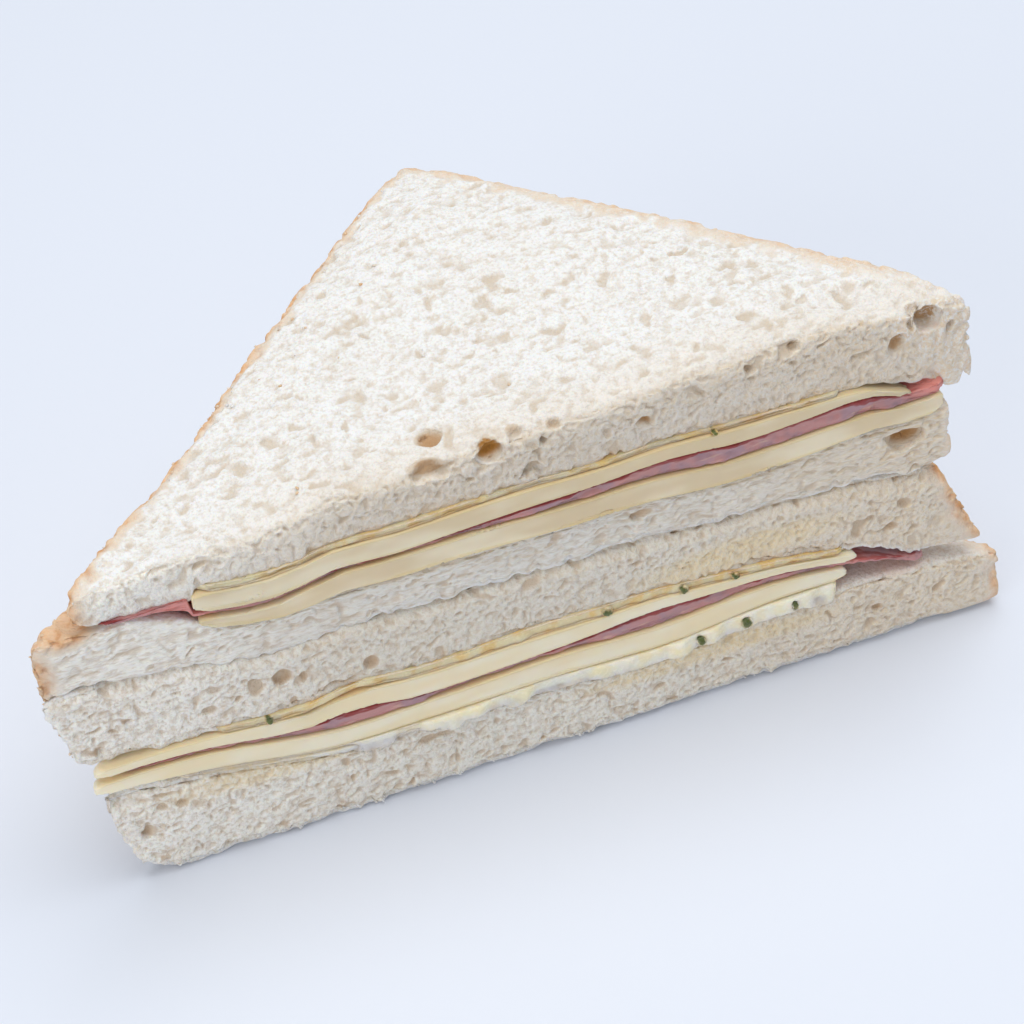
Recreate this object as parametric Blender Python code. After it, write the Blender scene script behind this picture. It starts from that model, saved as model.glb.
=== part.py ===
"""A club sandwich: the two halves of a ham and cheese sandwich cut corner to corner, one on the other.

The cut faces stand in one upright plane along X, and the crusts meet at a corner behind it. Each slice of
bread and each filling is one closed solid that follows the layers under it.
"""

import itertools
import math
from dataclasses import dataclass

import bmesh
import bpy
from mathutils import Vector, noise
from mathutils.bvhtree import BVHTree

# Every length is in millimetres until the finished meshes are scaled to metres.
METRES_PER_MM = 0.001

# A slice of the loaf is a rectangle with these sides, cut from corner to corner.
LOAF_SIDE_LEFT = 119.0
LOAF_SIDE_RIGHT = 111.0
LEFT_ANGLE = math.atan2(LOAF_SIDE_RIGHT, LOAF_SIDE_LEFT)
LEFT_TURN = math.pi / 2 + LEFT_ANGLE
RIGHT_TURN = LEFT_ANGLE
LEFT_OUTWARD = Vector((math.cos(LEFT_TURN), math.sin(LEFT_TURN)))
RIGHT_OUTWARD = Vector((math.cos(RIGHT_TURN), math.sin(RIGHT_TURN)))

# Places along the cut at which a layer's thickness is given.
STATIONS = (-84.0, -63.0, -42.0, -21.0, 0.0, 21.0, 42.0, 63.0, 84.0)
# Distance behind the cut over which a slice changes from its cut thickness to its crust thickness.
BACK_BLEND = 48.0

# Clear gap between two layers, so that no solids touch.
GAP = 0.3
# Past the edge of a filling the bread sinks, over this distance, until a share of the filling's height is
# left: the knife pressed the bread together at the cut, and the crusts stand apart behind it.
SAG_REACH = 12.0
SAG_SHARE_CUT = 0.1
SAG_SHARE_CRUST = 0.85
SAG_BLEND = 14.0
# The bread stays up this far past the filling's edge, which keeps it clear of the filling.
SAG_START = 1.5

# Columns of the mesh on the cut, on each crust side and round each corner.
BREAD_COLUMNS = (28, 9, 4)
FILLING_COLUMNS = (23, 6, 2)

# Spacing of the low bumps in the crumb and of the slow waves along each edge, and how far apart in the noise
# two layers are read, so that no two edges wave alike.
GRAIN_SIZE = 5.5
WAVE_SIZE = 24.0
NOISE_STEP = 17.3

# Columns and rings of the balls that open the holes and make the flecks.
HOLE_GRID = (10, 6)
FLECK_GRID = (6, 4)
# A fleck reaches this far in front of and behind the edge of the spread, is lower than it is long by this
# share, and never higher than this share of the spread, which keeps it clear of the layers above and below.
FLECK_DEPTH = 0.9
FLECK_FLATNESS = 0.6
FLECK_COVER = 0.42

# Edges that turn by more than this are shaded sharp.
SHARP_ANGLE = math.radians(40)

# Neighbours whose faces come nearer than the clearance are pressed apart in steps; the softer one gives way.
CLEARANCE = 0.12
PRESS_STEP = 0.06
PRESS_ROUNDS = 30
NEIGHBOURS = 5
SOFTNESS = {"crumb": 2, "cheese": 1, "ham": 0, "spread": 0}


@dataclass(frozen=True)
class Layer:
    """A slice of bread or a filling, as it shows on the cut."""

    name: str
    finish: str
    left: float
    right: float
    thick: tuple
    crust_thick: tuple
    front: float = 0.0
    rim_below: float = 1.0
    rim_above: float = 1.0
    end_radius: float = 6.0
    corner_radius: float = 5.0
    lean: tuple = (0.0, 0.0)
    droop: tuple = ((0.0, 1.0), (0.0, 1.0))
    wave: float = 0.6
    grain: float = 0.0
    swells: tuple = ()
    rings: tuple = (24.0, 14.0, 6.0)


@dataclass(frozen=True)
class Swell:
    """A place along the cut where a filling is folded or heaped up."""

    at: float
    width: float
    height: float


@dataclass(frozen=True)
class Hole:
    """A large air hole in the crumb, open on the cut face or on the top."""

    slice_name: str
    at: tuple
    radii: tuple


@dataclass(frozen=True)
class Fleck:
    """A fleck of chopped chive stuck on the front of the spread."""

    spread_name: str
    along: float
    size: float


# Bottom to top. The lower half lies further to the right, and its cheese was laid towards the left corner.
LAYERS = (
    Layer(
        "bread_bottom", "crumb", -80.8, 88.2,
        (23.8, 21.5, 17.1, 16.1, 15.7, 14.2, 16.3, 16.5, 14.0),
        (13.0, 14.5),
        front=-1.7, rim_below=2.2, rim_above=1.6, lean=(-5.0, 0.0), grain=0.35,
    ),
    Layer(
        "spread_bottom", "spread", -70.0, 55.0,
        (0.6, 0.6, 0.8, 1.2, 2.0, 2.4, 2.4, 1.6, 0.8),
        (0.7, 0.7),
        front=-2.2, rim_below=0.2, rim_above=0.2, end_radius=2.0, corner_radius=8.0, wave=0.7,
        rings=(20.0, 8.0),
    ),
    Layer(
        "cheese_bottom", "cheese", -83.5, 57.0,
        (2.4, 3.7, 3.6, 4.1, 4.6, 4.6, 4.1, 1.8, 1.8),
        (3.2, 3.2),
        front=-1.9, rim_below=0.5, rim_above=0.5, end_radius=1.2, corner_radius=1.5, wave=0.3,
    ),
    Layer(
        "ham_lower", "ham", -79.0, 73.0,
        (0.7, 0.7, 1.1, 1.1, 1.0, 1.6, 1.4, 0.8, 2.3),
        (0.8, 0.8),
        front=-1.2, rim_below=0.2, rim_above=0.2, end_radius=2.2, corner_radius=9.0, wave=0.8,
        swells=(Swell(-36.0, 7.5, 2.3), Swell(20.0, 12.0, 2.2)),
    ),
    Layer(
        "cheese_lower", "cheese", -83.0, 59.0,
        (1.8, 2.2, 4.1, 4.6, 4.0, 2.5, 1.8, 1.8, 1.8),
        (3.2, 3.2),
        front=-1.8, rim_below=0.5, rim_above=0.5, end_radius=1.2, corner_radius=1.5, wave=0.3,
    ),
    Layer(
        "spread_lower", "spread", -62.0, 57.0,
        (0.6, 0.8, 1.1, 1.6, 2.0, 1.6, 1.1, 0.8, 0.7),
        (0.7, 0.7),
        front=-1.8, rim_below=0.2, rim_above=0.2, end_radius=2.0, corner_radius=8.0, wave=0.7,
        rings=(20.0, 8.0),
    ),
    Layer(
        "bread_lower", "crumb", -87.5, 80.5,
        (18.4, 15.9, 13.7, 13.1, 12.2, 11.6, 12.2, 15.3, 21.8),
        (13.0, 14.5),
        front=-1.2, rim_below=1.4, rim_above=1.4, lean=(-5.5, -9.0), grain=0.35,
    ),
    Layer(
        "bread_middle", "crumb", -89.3, 78.2,
        (12.6, 7.4, 6.6, 7.7, 7.6, 8.2, 8.3, 11.5, 14.5),
        (12.2, 14.2),
        front=-0.4, rim_below=1.4, rim_above=1.4, grain=0.3,
    ),
    Layer(
        "cheese_middle", "cheese", -60.5, 76.0,
        (1.8, 2.0, 3.8, 4.5, 4.6, 4.6, 4.6, 3.8, 3.5),
        (3.8, 3.8),
        front=-0.9, rim_below=0.5, rim_above=0.5, end_radius=1.2, corner_radius=1.5, wave=0.3,
    ),
    Layer(
        "ham_upper", "ham", -77.0, 76.8,
        (0.5, 0.9, 0.6, 0.6, 1.7, 2.4, 3.1, 3.8, 4.2),
        (0.9, 0.9),
        front=-0.3, rim_below=0.2, rim_above=0.2, end_radius=2.2, corner_radius=9.0, wave=0.8,
        swells=(Swell(27.0, 9.0, 0.9),),
    ),
    Layer(
        "cheese_upper", "cheese", -61.0, 70.0,
        (3.5, 3.8, 4.2, 4.1, 3.7, 2.8, 3.2, 1.5, 0.6),
        (3.6, 3.6),
        front=-0.8, rim_below=0.5, rim_above=0.5, end_radius=1.2, corner_radius=1.5, wave=0.3,
    ),
    Layer(
        "spread_upper", "spread", -60.0, 57.0,
        (0.9, 1.0, 0.9, 0.9, 0.8, 0.7, 0.6, 0.6, 0.6),
        (0.6, 0.6),
        front=-0.6, rim_below=0.2, rim_above=0.2, end_radius=2.0, corner_radius=8.0, wave=0.7,
    ),
    Layer(
        "bread_top", "crumb", -81.6, 81.8,
        (6.5, 6.5, 8.5, 9.4, 10.7, 11.9, 13.9, 13.9, 12.9),
        (11.4, 17.2),
        rim_below=1.2, rim_above=3.6, droop=((2.6, 14.0), (7.5, 4.0)), grain=0.35,
    ),
)

# The largest air holes, placed by (along the cut, behind the cut, height above the slice's underside).
HOLES = (
    Hole("bread_top", (-7.0, 1.0, 7.8), (2.2, 2.4, 1.8)),
    Hole("bread_top", (-17.7, 1.6, 7.6), (3.4, 1.5, 1.3)),
    Hole("bread_top", (20.1, -0.3, 5.2), (1.7, 1.5, 1.2)),
    Hole("bread_top", (73.2, 1.5, 10.3), (2.4, 2.3, 2.3)),
    Hole("bread_top", (66.9, -0.1, 7.0), (1.5, 1.5, 1.8)),
    Hole("bread_top", (-15.4, 8.4, 10.0), (2.4, 1.8, 1.8)),
    Hole("bread_middle", (68.6, -0.6, 9.0), (3.6, 2.2, 2.0)),
    Hole("bread_lower", (-53.0, -1.6, 7.1), (1.3, 1.5, 2.2)),
    Hole("bread_bottom", (-75.0, -1.8, 11.7), (1.4, 1.5, 1.2)),
)

FLECKS = (
    Fleck("spread_lower", -51.7, 0.8),
    Fleck("spread_lower", 10.6, 1.3),
    Fleck("spread_lower", 25.1, 1.0),
    Fleck("spread_lower", 35.0, 0.9),
    Fleck("spread_bottom", 27.8, 1.0),
    Fleck("spread_bottom", 36.7, 1.2),
    Fleck("spread_bottom", 46.1, 0.8),
    Fleck("spread_upper", 32.4, 0.7),
)

# Base colour, roughness and metallic value of each finish.
FINISHES = {
    "crumb": ((0.80, 0.74, 0.64, 1.0), 0.9, 0.0),
    "cheese": ((0.83, 0.72, 0.42, 1.0), 0.4, 0.0),
    "ham": ((0.62, 0.27, 0.25, 1.0), 0.4, 0.0),
    "spread": ((0.86, 0.78, 0.52, 1.0), 0.25, 0.0),
}


def smooth(share):
    """Eases a share from 0 to 1, held outside that range."""
    share = min(1.0, max(0.0, share))
    return share * share * (3.0 - 2.0 * share)


def along_stations(values, x):
    """Smooth curve through the values at STATIONS, read at x."""
    step = STATIONS[1] - STATIONS[0]
    place = min(len(values) - 1, max(0, (x - STATIONS[0]) / step))
    i = min(int(place), len(values) - 2)
    t = place - i
    before, here, after, beyond = (values[min(len(values) - 1, max(0, i + k))] for k in (-1, 0, 1, 2))
    slope_here = (after - before) / 2
    slope_after = (beyond - here) / 2
    return (
        here * (2 * t**3 - 3 * t**2 + 1)
        + slope_here * (t**3 - 2 * t**2 + t)
        + after * (3 * t**2 - 2 * t**3)
        + slope_after * (t**3 - t**2)
    )


def thickness(layer, x, y):
    """Height of a layer at a point of the plan, as if it reached that far."""
    cut = along_stations(layer.thick, x)
    for swell in layer.swells:
        cut += swell.height * math.exp(-(((x - swell.at) / swell.width) ** 2))
    at_left, at_right = layer.crust_thick
    crust = at_left + (at_right - at_left) * (x - layer.left) / (layer.right - layer.left)
    share = smooth((y - layer.front) / BACK_BLEND)
    return cut + (crust - cut) * share


def end_setback(layer):
    """How far back the centres of the two rounded ends lie.

    The knife goes through the loaf's round corners, so bread meets the cut square on, and a filling's ends
    are round.
    """
    return layer.front if layer.finish == "crumb" else layer.front + layer.end_radius


def crust_sides(layer):
    """The two straight crust sides of a layer's plan, each an outward direction and its distance."""
    behind = end_setback(layer)
    left_centre = Vector((layer.left + layer.end_radius, behind))
    right_centre = Vector((layer.right - layer.end_radius, behind))
    return (
        (LEFT_OUTWARD, LEFT_OUTWARD.dot(left_centre) + layer.end_radius),
        (RIGHT_OUTWARD, RIGHT_OUTWARD.dot(right_centre) + layer.end_radius),
    )


def outside_distance(layer, x, y):
    """Distance past a layer's two crust sides, negative inside them."""
    return max(outward.dot(Vector((x, y))) - distance for outward, distance in crust_sides(layer))


def rise(layer, x, y):
    """How far a layer lifts what lies on it, which fades past the edge of a filling."""
    lift = thickness(layer, x, y) + GAP
    if layer.finish == "crumb":
        return lift
    fade = smooth((outside_distance(layer, x, y) - SAG_START) / SAG_REACH)
    behind = smooth((y - layer.front) / SAG_BLEND)
    share = SAG_SHARE_CUT + (SAG_SHARE_CRUST - SAG_SHARE_CUT) * behind
    return lift * (1.0 - (1.0 - share) * fade)


def underside(layer, x, y):
    """Height of a layer's lower face above the base of the stack."""
    below = LAYERS[: LAYERS.index(layer)]
    return sum(rise(other, x, y) for other in below)


def incentre(layer):
    """Centre and radius of the circle that touches the cut and both crust sides."""
    (left, left_distance), (right, right_distance) = crust_sides(layer)
    reach = left_distance * left.y + right_distance * right.y - layer.front
    radius = reach / (1 + left.y + right.y)
    return left * (left_distance - radius) + right * (right_distance - radius), radius


def arc(centre, radius, start, end, columns):
    """Points of an arc, counter-clockwise from one direction to another."""
    points = []
    for step in range(columns + 1):
        angle = start + (end - start) * step / columns
        points.append(centre + radius * Vector((math.cos(angle), math.sin(angle))))
    return points


def outline(layer):
    """The rounded triangle of a layer's plan, counter-clockwise, one point for each column of the mesh."""
    bread = layer.finish == "crumb"
    on_cut, on_crust, on_corner = BREAD_COLUMNS if bread else FILLING_COLUMNS
    radius = layer.end_radius
    behind = end_setback(layer)
    cut_turn = 0.0 if bread else math.pi / 2
    (left, left_distance), (right, right_distance) = crust_sides(layer)
    inset = layer.corner_radius
    back_centre = left * (left_distance - inset) + right * (right_distance - inset)
    arcs = (
        arc(Vector((layer.left + radius, behind)), radius, LEFT_TURN, math.pi + cut_turn, on_corner),
        arc(Vector((layer.right - radius, behind)), radius, -cut_turn, RIGHT_TURN, on_corner),
        arc(back_centre, inset, RIGHT_TURN, LEFT_TURN, on_corner),
    )
    columns = (on_cut, on_crust, on_crust)
    points = []
    for i, corner in enumerate(arcs):
        start, end = corner[-1], arcs[(i + 1) % len(arcs)][0]
        points.extend(corner)
        points.extend(start.lerp(end, step / columns[i]) for step in range(1, columns[i]))
    return points


def rim_rings(layer):
    """The rings of the mesh, bottom to top: inset from the outline, and height from the nearer face."""
    bend = 1 - math.sqrt(0.5)
    inner = [(inset, 0.0) for inset in layer.rings]
    below = [(layer.rim_below, 0.0), (layer.rim_below * bend, layer.rim_below * bend), (0.0, layer.rim_below)]
    above = [(0.0, layer.rim_above), (layer.rim_above * bend, layer.rim_above * bend), (layer.rim_above, 0.0)]
    if layer.finish != "crumb":
        below, above = [below[0], below[2]], [above[0], above[2]]
    rings = [(inset, height, "lower") for inset, height in inner + below]
    if layer.finish == "crumb":
        rings.append((0.0, 0.0, "middle"))
    rings += [(inset, height, "upper") for inset, height in above + inner[::-1]]
    return rings


def uneven(layer, point, size):
    """Smooth noise between -1 and 1 that differs from layer to layer."""
    shift = NOISE_STEP * LAYERS.index(layer)
    return noise.noise(Vector((point.x / size + shift, point.y / size, point.z / size)))


def ring_height(layer, plan, ring):
    """Height of a ring of the mesh over one point of the plan."""
    _, offset, face = ring
    low = underside(layer, plan.x, plan.y)
    thick = thickness(layer, plan.x, plan.y)
    if face == "lower":
        return low + offset - end_droop(layer, plan.x)
    if face == "upper":
        return low + thick - offset
    return low + (thick + layer.rim_below - layer.rim_above) / 2


def end_droop(layer, x):
    """How far a slice's lower face hangs down near the left or the right end of the cut."""
    (left, left_reach), (right, right_reach) = layer.droop
    to_left = smooth((layer.left + left_reach - x) / left_reach)
    to_right = smooth((x - layer.right + right_reach) / right_reach)
    return left * to_left + right * to_right


def lean_share(layer, plan, ring):
    """How far up the layer a ring is, from -0.5 on the lower face to 0.5 on the upper face."""
    _, offset, face = ring
    if face == "middle":
        return 0.0
    share = 0.5 - offset / thickness(layer, plan.x, plan.y)
    return -share if face == "lower" else share


def surface_point(layer, ring, edge, centre, inradius):
    """Where one vertex of the mesh belongs: the ring's share of the way in from an outline point."""
    inset = ring[0]
    outward = (edge - centre).normalized()
    edge_point = Vector((edge.x, edge.y, 0.0))
    wavy = edge + outward * layer.wave * uneven(layer, edge_point, WAVE_SIZE)
    plan = centre + (wavy - centre) * (1 - inset / inradius)
    at_left, at_right = layer.lean
    lean = at_left + (at_right - at_left) * (plan.x - layer.left) / (layer.right - layer.left)
    plan.x += lean * lean_share(layer, plan, ring)
    if inset <= max(layer.rim_above, layer.rim_below):
        rim_point = Vector((plan.x, plan.y, ring_height(layer, plan, ring)))
        plan += outward * layer.grain * uneven(layer, rim_point, GRAIN_SIZE)
    return Vector((plan.x, plan.y, ring_height(layer, plan, ring)))


def shape_layer(layer):
    """The mesh of a layer: a sphere's rings and columns drawn out to the layer's rims and faces."""
    edge = outline(layer)
    rings = rim_rings(layer)
    centre, inradius = incentre(layer)
    shape = bmesh.new()
    bmesh.ops.create_uvsphere(shape, u_segments=len(edge), v_segments=len(rings) + 1, radius=1.0)
    for vertex in shape.verts:
        row = round(math.acos(max(-1.0, min(1.0, -vertex.co.z))) / math.pi * (len(rings) + 1))
        if row in (0, len(rings) + 1):
            face = "lower" if row == 0 else "upper"
            vertex.co = (centre.x, centre.y, ring_height(layer, centre, (inradius, 0.0, face)))
            continue
        column = round(math.atan2(vertex.co.y, vertex.co.x) / math.tau * len(edge)) % len(edge)
        vertex.co = surface_point(layer, rings[row - 1], edge[column], centre, inradius)
    bmesh.ops.triangulate(shape, faces=shape.faces)
    mesh = bpy.data.meshes.new(layer.name)
    shape.to_mesh(mesh)
    shape.free()
    return mesh


def faces_tree(mesh):
    """Search tree of a mesh's faces, each taken as thick as the clearance."""
    corners = [vertex.co for vertex in mesh.vertices]
    faces = [tuple(face.vertices) for face in mesh.polygons]
    return BVHTree.FromPolygons(corners, faces, epsilon=CLEARANCE)


def shift_faces(mesh, faces, amount):
    """Moves every vertex of the given faces up or down by the same amount."""
    for i in {vertex for face in faces for vertex in mesh.polygons[face].vertices}:
        mesh.vertices[i].co.z += amount


def press_apart(lower_layer, lower, upper_layer, upper):
    """Moves the faces of two neighbours apart where they cross or nearly touch."""
    lower_gives = SOFTNESS[lower_layer.finish] >= SOFTNESS[upper_layer.finish]
    upper_gives = SOFTNESS[upper_layer.finish] >= SOFTNESS[lower_layer.finish]
    for _ in range(PRESS_ROUNDS):
        crossings = faces_tree(lower).overlap(faces_tree(upper))
        if not crossings:
            return
        if lower_gives:
            shift_faces(lower, {pair[0] for pair in crossings}, -PRESS_STEP)
        if upper_gives:
            shift_faces(upper, {pair[1] for pair in crossings}, PRESS_STEP)


def make_finish(name):
    """One plain material for a finish."""
    colour, roughness, metallic = FINISHES[name]
    material = bpy.data.materials.new(name)
    material.use_nodes = True
    shader = material.node_tree.nodes["Principled BSDF"]
    shader.inputs["Base Color"].default_value = colour
    shader.inputs["Roughness"].default_value = roughness
    shader.inputs["Metallic"].default_value = metallic
    return material


def ball(name, centre, radii, grid, collection):
    """A stretched ball, used to cut a hole or to stick on as a fleck."""
    columns, rings = grid
    shape = bmesh.new()
    bmesh.ops.create_uvsphere(shape, u_segments=columns, v_segments=rings, radius=1.0)
    bmesh.ops.scale(shape, vec=Vector(radii), verts=shape.verts)
    bmesh.ops.translate(shape, vec=Vector(centre), verts=shape.verts)
    mesh = bpy.data.meshes.new(name)
    shape.to_mesh(mesh)
    shape.free()
    piece = bpy.data.objects.new(name, mesh)
    piece.hide_render = True
    piece.display_type = "WIRE"
    collection.objects.link(piece)


def combine(solid, collection, operation):
    """Cuts or joins a collection of pieces with a solid, in one Boolean, then removes the pieces."""
    boolean = solid.modifiers.new(operation.title(), "BOOLEAN")
    boolean.operand_type = "COLLECTION"
    boolean.collection = collection
    boolean.operation = operation
    boolean.solver = "EXACT"
    bpy.context.view_layer.update()
    evaluated = solid.evaluated_get(bpy.context.evaluated_depsgraph_get())
    finished = bpy.data.meshes.new_from_object(evaluated)
    solid.modifiers.clear()
    solid.data = finished
    for piece in list(collection.objects):
        bpy.data.objects.remove(piece)
    bpy.data.collections.remove(collection)


def add_holes(layer, solid, scene_collection):
    """Opens the large air holes of one slice."""
    holes = [hole for hole in HOLES if hole.slice_name == layer.name]
    if not holes:
        return
    cutters = bpy.data.collections.new(f"{layer.name} holes")
    scene_collection.children.link(cutters)
    for i, hole in enumerate(holes):
        x, y, above = hole.at
        centre = (x, y, underside(layer, x, y) + above)
        ball(f"{layer.name} hole {i}", centre, hole.radii, HOLE_GRID, cutters)
    combine(solid, cutters, "DIFFERENCE")


def add_flecks(layer, solid, scene_collection):
    """Sticks the chive flecks on the front of one layer of spread."""
    flecks = [fleck for fleck in FLECKS if fleck.spread_name == layer.name]
    if not flecks:
        return
    pieces = bpy.data.collections.new(f"{layer.name} flecks")
    scene_collection.children.link(pieces)
    for i, fleck in enumerate(flecks):
        y = layer.front
        thick = thickness(layer, fleck.along, y)
        height = min(FLECK_COVER * thick, FLECK_FLATNESS * fleck.size)
        centre = (fleck.along, y, underside(layer, fleck.along, y) + thick / 2)
        ball(f"{layer.name} fleck {i}", centre, (fleck.size, FLECK_DEPTH, height), FLECK_GRID, pieces)
    combine(solid, pieces, "UNION")


def centre_on_base(solids):
    """Moves the meshes so that the origin is under the middle of the stack, on the face that it stands on."""
    points = [vertex.co for solid in solids for vertex in solid.data.vertices]
    middle_x = (min(p.x for p in points) + max(p.x for p in points)) / 2
    middle_y = (min(p.y for p in points) + max(p.y for p in points)) / 2
    lowest = min(p.z for p in points)
    for solid in solids:
        for vertex in solid.data.vertices:
            vertex.co = (vertex.co - Vector((middle_x, middle_y, lowest))) * METRES_PER_MM


def main():
    """Builds every layer of the sandwich."""
    for old in list(bpy.data.objects):
        bpy.data.objects.remove(old)
    sandwich = bpy.data.collections.new("club sandwich")
    bpy.context.scene.collection.children.link(sandwich)
    finishes = {name: make_finish(name) for name in FINISHES}
    meshes = [shape_layer(layer) for layer in LAYERS]
    for i, j in itertools.combinations(range(len(LAYERS)), 2):
        if j - i <= NEIGHBOURS:
            press_apart(LAYERS[i], meshes[i], LAYERS[j], meshes[j])
    solids = []
    for layer, mesh in zip(LAYERS, meshes):
        solid = bpy.data.objects.new(layer.name, mesh)
        sandwich.objects.link(solid)
        add_holes(layer, solid, bpy.context.scene.collection)
        add_flecks(layer, solid, bpy.context.scene.collection)
        solid.data.materials.clear()
        solid.data.materials.append(finishes[layer.finish])
        solids.append(solid)
    centre_on_base(solids)
    for solid in solids:
        solid.data.shade_smooth()
        solid.data.set_sharp_from_angle(angle=SHARP_ANGLE)


main()
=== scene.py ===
"""Looks of the club sandwich: crumb, crust, cheese, ham and spread, set over the sandwich's own solids."""

import itertools
import logging
import math
from dataclasses import dataclass, field
from enum import Enum
from typing import Callable, ClassVar

import bpy
import numpy as np
from mathutils import Matrix, Vector, kdtree


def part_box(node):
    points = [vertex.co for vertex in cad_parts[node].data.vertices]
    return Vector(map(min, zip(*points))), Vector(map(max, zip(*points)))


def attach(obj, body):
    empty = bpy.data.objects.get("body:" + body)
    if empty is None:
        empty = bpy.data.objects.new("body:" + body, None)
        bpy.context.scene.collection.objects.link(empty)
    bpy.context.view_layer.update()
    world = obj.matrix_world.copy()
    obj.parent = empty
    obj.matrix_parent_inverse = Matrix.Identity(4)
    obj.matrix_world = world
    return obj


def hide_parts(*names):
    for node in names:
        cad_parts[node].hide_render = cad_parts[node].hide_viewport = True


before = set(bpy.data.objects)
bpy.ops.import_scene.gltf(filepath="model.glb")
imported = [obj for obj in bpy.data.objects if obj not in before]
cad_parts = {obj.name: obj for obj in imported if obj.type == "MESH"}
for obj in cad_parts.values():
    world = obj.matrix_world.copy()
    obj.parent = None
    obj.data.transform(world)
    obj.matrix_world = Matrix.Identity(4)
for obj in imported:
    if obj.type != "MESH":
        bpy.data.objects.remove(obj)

LOG = logging.getLogger("club sandwich")

# Shapes are worked out in millimetres, from the middle of the cut: x along it, y behind it, z above the base.
MM = 0.001
MIDDLE_OF_STACK = np.array((-0.626, 40.324, 0.0))
SAME_PLACE = 1e-6

# Odd numbers that scatter whole-number grid places.
GRID_SCATTER = (73856093, 19349663, 83492791)
SALT_SCATTER = 40503
SCATTER_STEP = np.uint64(0x9E3779B97F4A7C15)
SCATTER_FIRST = np.uint64(0xBF58476D1CE4E5B9)
SCATTER_SECOND = np.uint64(0x94D049BB133111EB)

Colour = tuple[float, float, float]
Triple = tuple[float, float, float]


class Side(Enum):
    """Which crust side of the sandwich is meant."""

    LEFT = "left"
    RIGHT = "right"


class Slot(Enum):
    """The record's material slots."""

    CRUMB = "crumb"
    CHEESE = "cheese"
    HAM = "ham"
    SPREAD = "spread"


def paint(red: int, green: int, blue: int) -> Colour:
    """Turns a colour given as 0 to 255 on screen into the light values that shaders use.

    Args:
        red: Red on screen.
        green: Green on screen.
        blue: Blue on screen.

    Returns:
        The linear colour.
    """
    shares = (red / 255, green / 255, blue / 255)
    return tuple(s / 12.92 if s <= 0.04045 else ((s + 0.055) / 1.055) ** 2.4 for s in shares)


def ease(values: np.ndarray, start: float, end: float) -> np.ndarray:
    """Eases values from 0 at the start to 1 at the end.

    Args:
        values: The values to ease.
        start: Where the result is 0.
        end: Where the result is 1.

    Returns:
        The eased shares, from 0 to 1.
    """
    share = np.clip((values - start) / (end - start), 0.0, 1.0)
    return share * share * (3.0 - 2.0 * share)


def cell_shares(cells: np.ndarray, salt: int, count: int) -> list[np.ndarray]:
    """Gives every cell of a grid its own repeatable random shares.

    Args:
        cells: Whole-number grid places, one row a cell.
        salt: Picks one pattern out of many.
        count: How many shares each cell gets.

    Returns:
        As many arrays of shares from 0 to 1.
    """
    along, behind, up = (cells[:, axis] * scatter for axis, scatter in enumerate(GRID_SCATTER))
    state = (along ^ behind ^ up ^ salt * SALT_SCATTER).astype(np.uint64)
    shares = []
    for _ in range(count):
        state = state + SCATTER_STEP
        value = (state ^ (state >> np.uint64(30))) * SCATTER_FIRST
        value = (value ^ (value >> np.uint64(27))) * SCATTER_SECOND
        value = value ^ (value >> np.uint64(31))
        shares.append((value >> np.uint64(11)).astype(float) / 2.0**53)
    return shares


def soft_noise(points: np.ndarray, size: float | Triple, salt: int) -> np.ndarray:
    """Smooth noise over space.

    Args:
        points: Where it is read, one row a point.
        size: Spacing of its hills, the same or one for each direction.
        salt: Picks one pattern out of many.

    Returns:
        Values from 0 to 1.
    """
    space = points / np.asarray(size)
    base = np.floor(space).astype(np.int64)
    share = space - base
    share = share * share * (3.0 - 2.0 * share)
    total = np.zeros(len(points))
    for corner in itertools.product((0, 1), repeat=3):
        weight = np.prod(np.where(np.array(corner) == 1, share, 1.0 - share), axis=1)
        total += weight * cell_shares(base + np.array(corner), salt, 1)[0]
    return total


def far_wall(gap: np.ndarray, step: np.ndarray, radius: np.ndarray | float) -> np.ndarray:
    """Works out how far ahead of each point the far wall of a ball around the origin is.

    Args:
        gap: Where each point is, from the ball's middle.
        step: Where one millimetre ahead leads.
        radius: The ball's radius.

    Returns:
        Distances in millimetres, 0 outside the ball.
    """
    along = (step * step).sum(axis=1)
    ahead = (gap * step).sum(axis=1)
    beyond = (gap * gap).sum(axis=1) - radius * radius
    root = np.sqrt(np.maximum(ahead * ahead - along * beyond, 0.0))
    return np.where(beyond < 0.0, (root - ahead) / along, 0.0)


@dataclass(frozen=True)
class Bubbles:
    """One size of air bubble in the crumb, cut open by the surface."""

    spacing: float
    chance: float
    radius: tuple[float, float]
    deepest: float
    stretch: Triple = (1.0, 1.0, 1.0)

    def depth(self, points: np.ndarray, inward: np.ndarray, salt: int) -> np.ndarray:
        """Works out how far behind each surface point the far wall of an open bubble is.

        Args:
            points: Points of the surface, in millimetres.
            inward: Unit direction into the bread at each point.
            salt: Picks one pattern out of many.

        Returns:
            Depth in millimetres, 0 where no bubble is open.
        """
        scale = self.spacing * np.asarray(self.stretch)
        space = points / scale
        step = inward / scale
        base = np.floor(space).astype(np.int64)
        deepest = np.zeros(len(points))
        smallest, largest = self.radius
        for offset in itertools.product((-1, 0, 1), repeat=3):
            cell = base + np.array(offset)
            x, y, z, size, luck = cell_shares(cell, salt, 5)
            radius = smallest + (largest - smallest) * size
            reach = far_wall(space - cell - np.stack((x, y, z), axis=1), step, radius)
            deepest = np.maximum(deepest, np.where(luck < self.chance, reach, 0.0))
        return self.deepest * (1.0 - np.exp(-deepest / self.deepest))


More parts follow.
